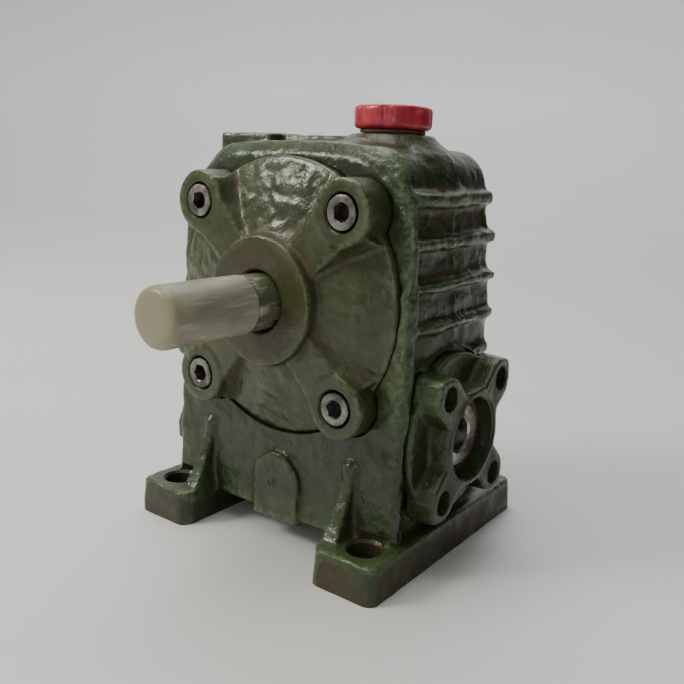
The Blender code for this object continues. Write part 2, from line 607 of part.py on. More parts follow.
bmesh.ops.remove_doubles(tb, verts=tb.verts, dist=0.000002)
bmesh.ops.holes_fill(tb, edges=[e for e in tb.edges if e.is_boundary], sides=0)
bmesh.ops.recalc_face_normals(tb, faces=tb.faces)
tb.to_mesh(thread.data)
tb.free()
add(worm, thread)
cut(worm, rod("hollow", 5.5, 22.0, 60.0, "X", (0, 0, 0), WORM_AXIS, steps=16),
    block("input_keyway", (26.0, 60.0), (-2.0, 2.0), (2.0, 7.3), parent=WORM_AXIS))
finish(worm, STEEL)

# ----------------------------------------------------------- shaft sleeve
sleeve = turned("shaft_sleeve", [
    (0, -SLEEVE_END), (6.9, -SLEEVE_END), (8.2, -SLEEVE_END - 0.7), (8.7, -SLEEVE_END - 2.2), (8.7, 47.3),
    (7.4, 47.3), (7.4, 74.4), (0, 74.4)], "-Y", (0, 0, 0), OUT_AXIS, steps=24)
finish(sleeve, MILK)

# -------------------------------------------------------- filler and drain
plug = turned("filler_plug", [
    (0, 8.2), (10.4, 8.2), (11.7, 7.3), (12.0, 6.1), (12.0, 3.1), (11.4, 1.9), (10.4, 1.5), (6.0, 1.5),
    (6.0, -11.3), (0, -11.3)], "Z", (0, 0, 0), PLUG_AXIS, steps=20)
for k in range(8):
    # shallow flutes round the head for the fingers
    t = 2 * math.pi * (k + 0.5) / 8
    f = rod(f"flute{k}", 1.6, 1.0, 12.0, "Z", (13.0 * math.cos(t), 13.0 * math.sin(t), 0), PLUG_AXIS, steps=8)
    cut(plug, f)
finish(plug, RED)
ring = tube("filler_washer", 6.4, 10.2, 0.3, 1.2, "Z", (0, 0, 0), PLUG_AXIS, steps=20)
finish(ring, PAPER)

drain = turned("drain_plug", [
    (0, 6.6), (5.9, 6.6), (6.8, 5.8), (8.6, 4.6), (8.6, 1.6), (5.0, 1.6), (5.0, -8.5), (4.5, -9.0), (0, -9.0)],
    "Y", (0, 0, 0), DRAIN_AXIS, steps=16)
hexa = rod("drain_hex", 13.0 / math.sqrt(3), -12.0, 9.0, "Y", (0, 0, 0), DRAIN_AXIS, steps=6)
boolean(drain, hexa, "INTERSECT")
finish(drain, STEEL)
dw = tube("drain_washer", 5.3, 7.6, 0.3, 1.3, "Y", (0, 0, 0), DRAIN_AXIS, steps=16)
finish(dw, BRONZE)

# -------------------------------------------------------------- sight glass
SG = (SIGHT_X, BACK, SIGHT_Z)
bezel = turned("sight_glass_bezel", [
    (9.6, 3.2), (10.4, 2.4), (10.4, 0.3), (7.0, 0.3), (7.0, -6.0), (5.2, -6.0), (5.2, -1.3), (6.3, -1.3), (6.3, 3.2)],
    "Y", SG, steps=18, ring=True)
finish(bezel, STEEL)
lens = rod("sight_glass_lens", 6.0, -1.0, 2.2, "Y", SG, steps=16)
finish(lens, GLASS)

bpy.context.view_layer.update()
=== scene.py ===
import math

import bpy
import bmesh
import numpy as np
from mathutils import Matrix, Vector


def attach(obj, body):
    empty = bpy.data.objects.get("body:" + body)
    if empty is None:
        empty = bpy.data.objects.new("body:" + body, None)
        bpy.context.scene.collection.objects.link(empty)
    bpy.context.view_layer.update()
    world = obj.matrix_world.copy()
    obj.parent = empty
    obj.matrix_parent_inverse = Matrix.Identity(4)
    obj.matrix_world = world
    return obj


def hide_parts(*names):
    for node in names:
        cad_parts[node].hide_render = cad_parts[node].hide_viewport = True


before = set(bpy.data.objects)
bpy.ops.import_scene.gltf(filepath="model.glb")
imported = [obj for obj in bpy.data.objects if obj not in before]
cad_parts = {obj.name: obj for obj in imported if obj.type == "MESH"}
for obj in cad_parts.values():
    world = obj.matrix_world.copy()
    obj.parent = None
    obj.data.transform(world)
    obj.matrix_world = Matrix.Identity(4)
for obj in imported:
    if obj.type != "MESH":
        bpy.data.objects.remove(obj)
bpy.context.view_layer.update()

# Castings are shaped as distance fields in millimetres, measured from the case
# centre on the ground, then moved to the row frame by this offset.
CASE = np.array([0.5, 16.7, 0.0])
WORM_Z, WHEEL_Z = 40.0, 80.0
FRONT, BACK = -30.0, 27.0
PLUG_X = 19.0
EAR = 28.0
LOBE = 16.2
SIGHT = (-20.0, 47.0)
DRAIN = (1.5, 20.4)


# ---------------------------------------------------------------- fields
def axes_of(lo, hi, h):
    return [np.arange(a, b + h * 0.5, h, dtype=np.float32) for a, b in zip(lo, hi)]


def grids(axes):
    x, y, z = axes
    return x[:, None, None], y[None, :, None], z[None, None, :]


def smin(a, b, k):
    h = np.clip(0.5 + 0.5 * (b - a) / k, 0, 1)
    return b + (a - b) * h - k * h * (1 - h)


def smax(a, b, k):
    return -smin(-a, -b, k)


def length(a, b):
    return np.sqrt(a * a + b * b)


def rrect(u, v, hu, hv, r):
    """Rounded rectangle, half sizes hu and hv, corner radius r."""
    a, b = np.abs(u) - (hu - r), np.abs(v) - (hv - r)
    return length(np.maximum(a, 0), np.maximum(b, 0)) + np.minimum(np.maximum(a, b), 0) - r


def polygon(u, v, pts):
    """Signed distance to a closed outline on a plane."""
    d = np.full(np.broadcast(u, v).shape, 1e9, dtype=np.float32)
    inside = np.zeros(d.shape, dtype=bool)
    n = len(pts)
    for i in range(n):
        (ax, ay), (bx, by) = pts[i], pts[(i + 1) % n]
        ex, ey = bx - ax, by - ay
        t = np.clip(((u - ax) * ex + (v - ay) * ey) / (ex * ex + ey * ey), 0, 1)
        d = np.minimum(d, length(u - ax - ex * t, v - ay - ey * t))
        if ay != by:
            hit = ((ay > v) != (by > v)) & (u < (bx - ax) * (v - ay) / (by - ay) + ax)
            inside ^= hit
    return np.where(inside, -d, d)


def spline_rows(a, cell):
    u = (a - a[0]) / cell
    i = np.floor(u).astype(int)
    t = u - i
    w = np.zeros((len(a), i[-1] + 4), dtype=np.float32)
    rows = np.arange(len(a))
    for k, c in enumerate(((1 - t) ** 3 / 6, (3 * t ** 3 - 6 * t ** 2 + 4) / 6,
                           (-3 * t ** 3 + 3 * t ** 2 + 3 * t + 1) / 6, t ** 3 / 6)):
        w[rows, i + k] += c
    return w


def along(mats, f):
    for k, m in enumerate(mats):
        f = np.moveaxis(np.tensordot(m, np.moveaxis(f, k, 0), axes=(1, 0)), 0, k)
    return f


def lumps(axes, cell, seed):
    """A smooth random field of unit spread, with features about cell wide."""
    mats = [spline_rows(a, cell) for a in axes]
    rng = np.random.default_rng(seed)
    f = along(mats, rng.standard_normal([m.shape[1] for m in mats]).astype(np.float32))
    return f / f.std()


def blurred(axes, f, sigma):
    mats = []
    for a in axes:
        w = np.exp(-0.5 * ((a[:, None] - a[None, :]) / sigma) ** 2)
        mats.append((w / w.sum(1, keepdims=True)).astype(np.float32))
    return along(mats, f)


def sample(axes, f, pts):
    """Trilinear reading of a field at points."""
    idx, frac = [], []
    for k, a in enumerate(axes):
        u = np.clip((pts[:, k] - a[0]) / (a[1] - a[0]), 0, len(a) - 1.001)
        i = u.astype(int)
        idx.append(i)
        frac.append(u - i)
    out = 0
    for c in range(8):
        w = 1
        at = []
        for k in range(3):
            b = c >> k & 1
            w = w * (frac[k] if b else 1 - frac[k])
            at.append(idx[k] + b)
        out = out + w * f[at[0], at[1], at[2]]
    return out


def skin(axes, f):
    """Surface nets: one point per cell the surface crosses, one four-sided
    face per grid edge that it crosses."""
    h = axes[0][1] - axes[0][0]
    inside = f < 0
    n = np.zeros(tuple(s - 1 for s in f.shape), dtype=np.int8)
    corners = [(i, j, k) for i in (0, 1) for j in (0, 1) for k in (0, 1)]
    for i, j, k in corners:
        n += inside[i:inside.shape[0] - 1 + i, j:inside.shape[1] - 1 + j, k:inside.shape[2] - 1 + k]
    cells = np.argwhere((n > 0) & (n < 8))
    number = np.full(n.shape, -1, dtype=np.int64)
    number[tuple(cells.T)] = np.arange(len(cells))
    val = [f[cells[:, 0] + i, cells[:, 1] + j, cells[:, 2] + k] for i, j, k in corners]
    pos, cnt = np.zeros((len(cells), 3)), np.zeros(len(cells))
    for a in range(8):
        for b in range(a + 1, 8):
            ca, cb = np.array(corners[a]), np.array(corners[b])
            if abs(ca - cb).sum() != 1:
                continue
            m = (val[a] < 0) != (val[b] < 0)
            t = np.where(m, val[a] / np.where(m, val[a] - val[b], 1), 0)
            pos += m[:, None] * (ca + t[:, None] * (cb - ca))
            cnt += m
    pts = np.array([a[0] for a in axes]) + (cells + pos / cnt[:, None]) * h
    faces = []
    for ax in range(3):
        lo = [slice(None)] * 3
        hi = [slice(None)] * 3
        lo[ax], hi[ax] = slice(0, -1), slice(1, None)
        a, b = inside[tuple(lo)], inside[tuple(hi)]
        e = np.argwhere(a != b)
        u, v = (ax + 1) % 3, (ax + 2) % 3
        e = e[(e[:, u] > 0) & (e[:, v] > 0) & (e[:, u] < n.shape[u]) & (e[:, v] < n.shape[v])]
        quad = []
        for du, dv in ((1, 1), (0, 1), (0, 0), (1, 0)):
            c = e.copy()
            c[:, u] -= du
            c[:, v] -= dv
            quad.append(number[tuple(c.T)])
        q = np.stack(quad, 1)
        flip = ~a[tuple(e.T)]
        q[flip] = q[flip][:, ::-1]
        faces.append(q)
    return pts, np.concatenate(faces)


# ---------------------------------------------------------------- meshes
def mesh_ob(name, pts, faces, shift=True):
    me = bpy.data.meshes.new(name)
    pts = (np.asarray(pts, dtype=float) + (CASE if shift else 0)) * 0.001
    if isinstance(faces, np.ndarray):
        k = faces.shape[1]
        me.vertices.add(len(pts))
        me.vertices.foreach_set("co", pts.ravel())
        me.loops.add(faces.size)
        me.loops.foreach_set("vertex_index", faces.ravel())
        me.polygons.add(len(faces))
        me.polygons.foreach_set("loop_start", np.arange(len(faces)) * k)
        me.update(calc_edges=True)
    else:
        me.from_pydata(pts.tolist(), [], faces)
    ob = bpy.data.objects.new(name, me)
    bpy.context.scene.collection.objects.link(ob)
    return ob


def turned(name, pts, axis, at=(0, 0, 0), steps=72, ring=False):
    """Profile points (radius, place along the axis) turned about an axis."""
    n = len(pts)
    ang = np.arange(steps) * 2 * math.pi / steps
    verts, ids = [], []
    for r, a in pts:
        if r < 1e-6:
            ids.append([len(verts)] * steps)
            verts.append((0, 0, a))
        else:
            ids.append(list(range(len(verts), len(verts) + steps)))
            verts += [(r * math.cos(t), r * math.sin(t), a) for t in ang]
    faces = []
    for i in range(n if ring else n - 1):
        p, q = ids[i], ids[(i + 1) % n]
        for k in range(steps):
            j = (k + 1) % steps
            f = [p[k], p[j], q[j], q[k]]
            f = [v for s, v in enumerate(f) if v != f[s - 1]]
            if len(f) > 2:
                faces.append(f)
    v = np.array(verts, dtype=float)
    x, y, z = v.T
    turn = {"X": (z, x, y), "Y": (y, z, x), "Z": (x, y, z), "-X": (-z, x, -y), "-Y": (x, -z, y)}[axis]
    ob = mesh_ob(name, np.stack(turn, 1) + np.array(at), faces)
    bm = bmesh.new()
    bm.from_mesh(ob.data)
    bmesh.ops.recalc_face_normals(bm, faces=bm.faces)
    bm.to_mesh(ob.data)
    bm.free()
    return ob


def rod(name, r, a0, a1, axis, at=(0, 0, 0), steps=72, cham=0.0):
    a0, a1 = sorted((a0, a1))
    if cham:
        return turned(name, [(0, a0), (r, a0), (r, a1 - cham), (r + cham, a1), (0, a1)], axis, at, steps)
    return turned(name, [(0, a0), (r, a0), (r, a1), (0, a1)], axis, at, steps)


def block(name, x, y, z):
    v = [(a, b, c) for a in x for b in y for c in z]
    return mesh_ob(name, v, [(0, 1, 3, 2), (4, 6, 7, 5), (0, 4, 5, 1), (2, 3, 7, 6), (0, 2, 6, 4), (1, 5, 7, 3)])


def prism(name, pts, a0, a1, axis, at=(0, 0, 0)):
    """Outline pushed along an axis. pts are on the plane across it."""
    n = len(pts)
    low = [(u, v, a0) for u, v in pts]
    high = [(u, v, a1) for u, v in pts]
    x, y, z = np.array(low + high, dtype=float).T
    turn = {"X": (z, x, y), "Y": (x, z, y), "Z": (x, y, z)}[axis]
    faces = [list(range(n)), list(range(n, 2 * n))] + [(i, (i + 1) % n, n + (i + 1) % n, n + i) for i in range(n)]
    ob = mesh_ob(name, np.stack(turn, 1) + np.array(at), faces)
    bm = bmesh.new()
    bm.from_mesh(ob.data)
    bmesh.ops.recalc_face_normals(bm, faces=bm.faces)
    bm.to_mesh(ob.data)
    bm.free()
    return ob


def hexagon(af, turn=0.0):
    r = af / math.sqrt(3)
    return [(r * math.cos(turn + k * math.pi / 3), r * math.sin(turn + k * math.pi / 3)) for k in range(6)]


def carve(ob, others, op="DIFFERENCE"):
    """Booleans the other objects into ob, and removes them."""
    count = len(ob.data.vertices)
    for o in others:
        m = ob.modifiers.new("b", "BOOLEAN")
        m.operation = op
        m.object = o
        m.solver = "MANIFOLD"
    dg = bpy.context.evaluated_depsgraph_get()
    me = bpy.data.meshes.new_from_object(ob.evaluated_get(dg))
    ob.modifiers.clear()
    old = ob.data
    ob.data = me
    bpy.data.meshes.remove(old)
    me.name = ob.name
    for o in others:
        bpy.data.objects.remove(o, do_unlink=True)
    if len(me.vertices) == count:
        print("carve changed nothing:", ob.name)
    return ob


def shade(ob, angle=32):
    ob.data.polygons.foreach_set("use_smooth", np.ones(len(ob.data.polygons), dtype=bool))
    ob.data.set_sharp_from_angle(angle=math.radians(angle))
    ob.data.update()


def put_value(ob, name, values):
    a = ob.data.attributes.new(name, "FLOAT", "POINT")
    a.data.foreach_set("value", np.asarray(values, dtype=np.float32))


def points_mm(ob):
    co = np.empty(len(ob.data.vertices) * 3)
    ob.data.vertices.foreach_get("co", co)
    return co.reshape(-1, 3) * 1000 - CASE


def hollow_values(ob, axes, f, sigma):
    """How far each point lies in a hollow (positive) or on an edge (negative)."""
    soft = blurred(axes, f, sigma) - f
    put_value(ob, "hollow", np.clip(-sample(axes, soft, points_mm(ob)) / (0.35 * sigma), -1.5, 1.5))


def stations(y, table, col):
    t = np.array(table)
    return np.interp(y, t[:, 0], t[:, col]).astype(np.float32)


# ---------------------------------------------------------------- housing
BODY = [  # along Y: half width, top, crown, corner radius, lean of the sides
    (-30.0, 45.2, 124.2, 0.0028, 21.5, 0.0), (-28.6, 46.0, 125.4, 0.0026, 20.0, 0.0), (-26.4, 46.7, 127.1, 0.0020, 16.0, 0.105),
    (-24.2, 45.4, 127.4, 0.0018, 14.0, 0.105), (-21.2, 43.8, 127.3, 0.0014, 10.5, 0.105), (0.0, 44.2, 127.5, 0.0010, 10.0, 0.105),
    (24.0, 43.6, 126.9, 0.0007, 10.0, 0.105), (27.0, 42.8, 126.2, 0.0008, 10.0, 0.105)]
RIBS = ((112.0, 42.8), (99.8, 44.2), (87.5, 45.4), (75.2, 45.4), (63.4, 45.0))


def housing_field(axes):
    x, y, z = grids(axes)
    ax, ay = np.abs(x), np.abs(y)
    # the front face and the frame round the cover lean back with height
    ys = (y - 0.05 * (z - 30.0) * np.clip((-20.0 - y) / 3.0, 0, 1)).astype(np.float32)
    hw, top = stations(ys, BODY, 1), stations(ys, BODY, 2)
    crown, rc, lean = stations(ys, BODY, 3), stations(ys, BODY, 4), stations(ys, BODY, 5)
    roof = top - crown * x * x
    wall = hw - 0.004 * np.clip(60 - z, 0, 60) - lean * np.clip(z - 80.0, 0, 38.0)
    a, b = ax - (wall - rc), z - roof + rc
    d = length(np.maximum(a, 0), np.maximum(b, 0)) + np.minimum(np.maximum(a, b), 0) - rc
    d = smax(d, 9.0 - z, 1.5)
    d = smax(d, FRONT - ys, 1.6)
    d = smax(d, y - BACK, 2.4)

    # ribs down both sides, thinner at the tip, and the seam where the moulds met
    for z0, tip0 in RIBS:
        wide = min(tip0 + 0.9, 46.5) if z0 > 70 else tip0
        tip = np.interp(y, (0.0, 25.2), (wide, tip0 + 0.1)).astype(np.float32)
        half = np.interp(ax, (38.0, 46.5), (3.2, 1.0)).astype(np.float32)
        sag = 0.3 * np.sin(y * 0.11 + z0)
        rib = smax(ax - tip, np.abs(z - z0 - sag) - half, 0.9)
        rib = smax(rib, np.maximum(y - 25.4, -25.6 + 0.045 * (z0 - 30.0) - y), 0.9)
        d = smin(d, rib, 1.8)
    out = 45.0 - 0.105 * np.clip(z - 80, 0, 40)
    seam = smax(length(y - 0.3, 0) - 0.5, ax - out - 0.35 * np.sin(z * 0.9) * np.sin(z * 0.37), 0.5)
    seam = np.maximum(np.maximum(seam, 62.0 - z), z - 114.0)
    d = smin(d, seam, 0.7)

    # side seats for the worm's covers
    rs = length(y, z - WORM_Z)
    seat = smax(rs - np.interp(ax, (38.0, 40.0, 44.5), (28.2, 27.6, 26.7)).astype(np.float32), ax - 44.6, 0.8)
    d = smin(d, np.maximum(seat, 36 - ax), 2.6)

    # filler boss, pad and bridge on top
    rp = length(x - PLUG_X, y)
    rb = np.interp(z, (118, 124.2, 126.8, 130.3), (17.6, 17.0, 15.0, 12.6)).astype(np.float32)
    boss = smax((rp - rb) * 0.85, z - 130.3, 0.8)
    pad = smax(rrect(x + 31.4, y, 11.7, 13.1, 1.6), np.abs(z - 124.4) - 5.4, 0.9)
    bridge = smax(rrect(x + 6.0, y - 3.0, 16.5, 10.2, 2.0), np.abs(z - 119.0) - 10.4, 1.0)
    d = smin(d, np.maximum(boss, 117 - z), 4.0)
    d = smin(d, pad, 1.0)
    d = smin(d, bridge, 1.2)

    # rear bearing boss, level bosses front and rear
    rw = length(x, z - WHEEL_Z)
    rear = smax(rw - np.interp(y, (20.0, 26.0, 38.0), (25.8, 25.4, 23.8)).astype(np.float32), y - 38.0, 2.6)
    d = smin(d, np.maximum(rear, 20 - y), 4.0)
    lx = x - 1.5
    arch = np.minimum(rrect(lx, z - 15.0, 9.6, 7.5, 0.5), length(lx, z - 20.7) - 9.7)
    low = smax(arch, np.maximum(-32.3 - y, y - 29.1), 0.8)
    d = smin(d, low, 1.0)
    pip = np.sqrt((x - 0.6) ** 2 + (y + 32.0) ** 2 + (z - 20.4) ** 2) - 1.25
    d = smin(d, pip, 0.8)

    # foot rails and the thin gussets that run down to them
    draft = np.clip(z, 0, 12) * 0.05
    rail = rrect(ax - 38.5, y, 11.6 - draft + 0 * y, 45.1 - draft + 0 * x, 3.6)
    rail = smax(rail, z - 11.5, 1.0)
    d = smin(d, np.maximum(rail, -2.4 - z), 1.8)
    # the hollow curve of the gusset's edge
    edge = np.interp(z, (10.0, 12.2, 17.0, 22.5, 27.5, 31.0, 33.5), (41.6, 39.6, 36.7, 34.1, 32.2, 30.8, 29.6)).astype(np.float32)
    back_edge = edge - 2.2
    e = np.where(y < 0, -y - edge, y - back_edge) * 0.88
    web = smax(np.abs(ax - 29.6 - 0.3) - np.interp(z, (11.0, 16.0, 33.0), (3.2, 2.35, 1.9)).astype(np.float32), e, 0.7)
    web = np.maximum(np.maximum(web, z - 33.0), np.maximum(8.0 - z, 24 - ay))
    d = smin(d, web, 1.5)
    # swelling where each gusset meets the wall
    for s in (-1, 1):
        knot = np.sqrt((x - s * 29.9) ** 2 + ((y + 29.6) * 1.1) ** 2 + ((z - 32.0) * 0.85) ** 2) - 2.7
        d = smin(d, knot, 1.1)

    # sand-cast skin
    n1, n2, n3 = lumps(axes, 6.5, 11), lumps(axes, 3.1, 12), lumps(axes, 1.9, 13)
    front = np.clip((-20.0 - y) / 4.0, 0, 1) * np.clip((z - 20) / 12.0, 0, 1)
    side = np.clip((ax - 38) / 3, 0, 1)
    foot = np.clip((13.0 - z) / 2.0, 0, 1)
    rough = n1 * 0.055 + n2 * (0.05 + 0.05 * front + 0.05 * side) + n3 * (0.04 + 0.05 * front + 0.04 * side)
    return d + rough * (1 - 0.55 * foot)


print("housing field")
H = 0.8
h_axes = axes_of((-50.8, -46.0, -2.8), (50.8, 46.0, 131.6), H)
h_field = housing_field(h_axes)
pts, quads = skin(h_axes, h_field)
housing = mesh_ob("housing_casting", pts, quads)
print("housing skin", len(pts), len(quads))

inner = rod("inner", 34.8, -34.0, 17.0, "Y", (0, 0, WHEEL_Z), 96)
carve(inner, [
    block("sump", (-31.0, 31.0), (-20.3, 16.2), (15.1, 62.0)),
    rod("tunnel", 15.6, -52.0, 52.0, "X", (0, 0, WORM_Z), 48),
    rod("seat", 43.1, -36.0, -25.2, "Y", (0, 0, WHEEL_Z), 128),
    rod("face_r", 27.3, 44.0, 53.0, "X", (0, 0, WORM_Z), 64),
    rod("face_l", 27.3, 44.0, 53.0, "-X", (0, 0, WORM_Z), 64),
    rod("pocket_in", 18.8, 31.7, 54.0, "X", (0, 0, WORM_Z), 64),
    rod("pocket_end", 17.8, 31.7, 54.0, "-X", (0, 0, WORM_Z), 64),
    rod("pocket_rear", 20.3, 10.0, 31.0, "Y", (0, 0, WHEEL_Z), 64),
    rod("fill", 6.4, 100.0, 133.0, "Z", (PLUG_X, 0, 0), 48, 0.0),
    rod("fill_face", 14.0, 130.25, 136.0, "Z", (PLUG_X, 0, 0), 48),
    rod("drain", 5.3, 10.0, 40.0, "Y", (DRAIN[0], 0, DRAIN[1]), 32),
    rod("sight", 7.3, 10.0, 40.0, "Y", (SIGHT[0], 0, SIGHT[1]), 48),
    rod("drain_face", 8.8, 29.0, 40.0, "Y", (DRAIN[0], 0, DRAIN[1]), 48),
    rod("sight_face", 10.9, 27.0, 40.0, "Y", (SIGHT[0], 0, SIGHT[1]), 48),
    block("ground", (-60, 60), (-60, 60), (-10.0, 0.0))], "UNION")
holes = []
for sx in (-1, 1):
    for sz in (-1, 1):
        at = (sx * EAR, 0, WHEEL_Z + sz * EAR)
        holes += [rod("ear_pocket", 10.3, -36.0, -25.25, "Y", at, 48), rod("ear_hole", 3.2, -36.5, -11.0, "Y", at, 24)]
        for side in ("X", "-X"):
            holes.append(rod("lobe_hole", 2.55, 32.5, 52.5, side, (0, sx * LOBE, WORM_Z + sz * LOBE), 24))
        holes.append(turned("foot_hole", [(0, -5), (5.0, -5), (5.0, 10.7), (5.9, 11.6), (5.9, 14.5), (0, 14.5)],
                            "Z", (sx * 40.0, sz * 35.0, 0), 56))
carve(inner, holes, "UNION")
carve(housing, [inner])
shade(housing, 34)
hollow_values(housing, h_axes, h_field, 2.0)
del h_field


# ---------------------------------------------------------------- front cover
def cover_field(axes):
    x, y, z = grids(axes)
    zz = z - WHEEL_Z
    r = length(x, zz)
    lift = np.interp(r, (18.0, 19.9, 30.0, 38.5, 41.0, 42.3), (35.6, 35.2, 32.5, 30.0, 29.3, 28.75)).astype(np.float32)
    disc = smax(-y - lift, r - 42.7, 0.7)
    hub = smax(r - 19.4 - 0.10 * (39.5 + y), -39.5 - y, 0.6)
    d = smin(disc, hub, 1.0)
    arms = None
    for s in (-1, 1):
        t = (x + s * zz) / math.sqrt(2)      # along the arm
        w = (x - s * zz) / math.sqrt(2)      # across it
        half = np.interp(np.abs(t), (14.0, 22.0, 31.0, 40.0), (6.6, 5.9, 6.7, 8.4)).astype(np.float32)
        arm = smax((np.abs(w) - half - 0.62 * (36.5 + y)) * 0.85, -36.45 - y, 0.55)
        arm = np.maximum(arm, np.abs(t) - 40.0)
        arms = arm if arms is None else np.minimum(arms, arm)
    for sx in (-1, 1):
        for sz in (-1, 1):
            ear = smax(length(x - sx * EAR, zz - sz * EAR) - 9.4 - 0.02 * (36.6 + y), -36.6 - y, 0.7)
            arms = smin(arms, ear, 1.2)
    d = smin(d, arms, 0.9)
    n1, n2, n3, n4 = (lumps(axes, c, s) for c, s in ((5.5, 21), (2.7, 22), (1.7, 23), (3.6, 24)))
    floor = np.clip(arms / 2.2, 0, 1) * np.clip((r - 20.5) / 2.0, 0, 1) * np.clip((41.8 - r) / 1.2, 0, 1)
    crinkle = 0.12 * (np.abs(n4) - 0.8) - 0.19 * (np.abs(n2) - 0.8)
    return d + n1 * 0.035 + n2 * 0.025 + n3 * 0.015 + floor * (crinkle + 0.05 * n3), floor


print("cover field")
c_axes = axes_of((-43.6, -40.8, 36.4), (43.6, -24.0, 123.6), 0.5)
c_field, c_floor = cover_field(c_axes)
pts, quads = skin(c_axes, np.maximum(c_field, grids(c_axes)[1] + 25.2))
cover = mesh_ob("front_cover_casting", pts, quads)
tool = rod("bore", 9.4, 10.0, 41.0, "-Y", (0, 0, WHEEL_Z), 64)
more = [turned("seal_seat", [(0, 9), (15.3, 9), (15.3, 37.2), (0, 37.2)], "-Y", (0, 0, WHEEL_Z), 72),
        turned("bearing_seat", [(0, 8), (20.3, 8), (20.3, 30.0), (0, 30.0)], "-Y", (0, 0, WHEEL_Z), 72),
        turned("lip", [(0, 39.0), (9.4, 39.0), (10.2, 39.8), (10.2, 42.0), (0, 42.0)], "-Y", (0, 0, WHEEL_Z), 64),
        block("back", (-60, 60), (-26.3, -20.0), (20, 140))]
for sx in (-1, 1):
    for sz in (-1, 1):
        at = (sx * EAR, 0, WHEEL_Z + sz * EAR)
        more += [turned("sink", [(0, 30.5), (5.6, 30.5), (5.6, 36.2), (6.1, 36.75), (6.1, 40), (0, 40)], "-Y", at, 56),
                 rod("bolt", 3.3, 24.0, 31.0, "-Y", at, 24)]
carve(tool, more, "UNION")
carve(cover, [tool])
# the spigot behind the seat plane, which locates the cover in the case
spigot = turned("spigot", [(20.3, 26.35), (34.4, 26.35), (34.4, 23.7), (33.9, 23.2), (24.4, 22.2), (24.4, 17.9), (24.1, 17.6),
                           (20.3, 17.6)], "-Y", (0, 0, WHEEL_Z), 72, ring=True)
carve(cover, [spigot], "UNION")
shade(cover, 34)
hollow_values(cover, c_axes, c_field, 1.5)
put_value(cover, "floor", np.clip(sample(c_axes, c_floor, points_mm(cover)), 0, 1))
del c_field, c_floor


# ---------------------------------------------------------------- lobed covers
LOBES = [(15.6, 6.2), (21.2, 11.6), (22.6, 15.5), (22.0, 20.6), (20.6, 22.0), (15.5, 22.6), (11.6, 21.2), (6.2, 15.6)]


def lobed_field(axes, face, seed):
    """Side cover facing +X, before the left one is turned round."""
    x, y, z = grids(axes)
    zz = z - WORM_Z
    line = []
    for k in range(4):
        c, s = round(math.cos(k * math.pi / 2)), round(math.sin(k * math.pi / 2))
        line += [(c * u - s * v, s * u + c * v) for u, v in LOBES]
    star2 = polygon(y[0], zz[0], line)[None]
    r = length(y, zz)
    disc = smax(r - 25.95, np.abs(x - 45.7) - 2.3, 1.0)
    star = smax(star2 - 0.05 * (face - x) + 0.15, x - face, 1.0)
    star = np.maximum(star, 45.85 - x)
    nose = np.maximum(smax(r - 14.5 - 0.05 * (face - x), x - face, 0.7), 44 - x)
    d = smin(disc, smin(star, nose, 1.0), 1.6)
    n1, n2, n3 = (lumps(axes, c, seed + i) for i, c in enumerate((5.0, 2.6, 1.7)))
    rim = np.clip((23.0 - r) / 2, 0, 1)
    return np.maximum(d + n1 * 0.04 + n2 * 0.04 + n3 * 0.02 * rim, 43.6 - x)


def lobed_cover(name, face, seed, left):
    axes = axes_of((42.0, -27.2, 12.8), (face + 1.2, 27.2, 67.2), 0.42)
    f = lobed_field(axes, face, seed)
    pts, quads = skin(axes, f)
    ob = mesh_ob(name, pts, quads)
    sink = 47.7 if not left else 48.5
    tool = block("inside", (30.0, 45.1), (-40, 40), (0, 80))
    more = []
    if not left:
        more += [turned("bore", [(0, 45.9), (13.0, 45.9), (13.0, face - 0.6), (13.6, face), (13.6, 60), (0, 60)], "X", (0, 0, WORM_Z), 72),
                 rod("way", 10.9, 44.0, 50.0, "X", (0, 0, WORM_Z), 64)]
    else:
        more += [rod("relief", 11.0, 44.0, 49.0, "X", (0, 0, WORM_Z), 64)]
    for sy in (-1, 1):
        for sz in (-1, 1):
            at = (0, sy * LOBE, WORM_Z + sz * LOBE)
            more += [turned("sink", [(0, sink), (3.75, sink), (3.75, face - 0.35), (4.1, face), (4.1, 60), (0, 60)], "X", at, 40),
                     rod("hole", 2.4, 40.0, 58.0, "X", at, 20)]
    carve(tool, more, "UNION")
    carve(ob, [tool])
    if left:
        carve(ob, [turned("spigot", [(11.0, 45.15), (17.3, 45.15), (17.3, 43.7), (16.9, 43.3), (11.0, 43.3)], "X", (0, 0, WORM_Z), 64, True)], "UNION")
    else:
        carve(ob, [turned("spigot", [(10.9, 45.9), (18.45, 45.9), (18.45, 41.8), (18.05, 41.4), (15.0, 41.4), (15.0, 44.9), (10.9, 44.9)],
                          "X", (0, 0, WORM_Z), 64, True)], "UNION")
    hollow_values(ob, axes, f, 1.3)
    if left:
        ob.data.transform(Matrix.Translation(Vector(CASE * 0.001)) @ Matrix.Rotation(math.pi, 4, "Z")
                          @ Matrix.Translation(Vector(-CASE * 0.001)))
    shade(ob, 34)
    return ob


print("side covers")
input_cover = lobed_cover("input_cover_casting", 55.0, 31, False)
end_cap = lobed_cover("worm_end_cap_casting", 56.0, 41, True)


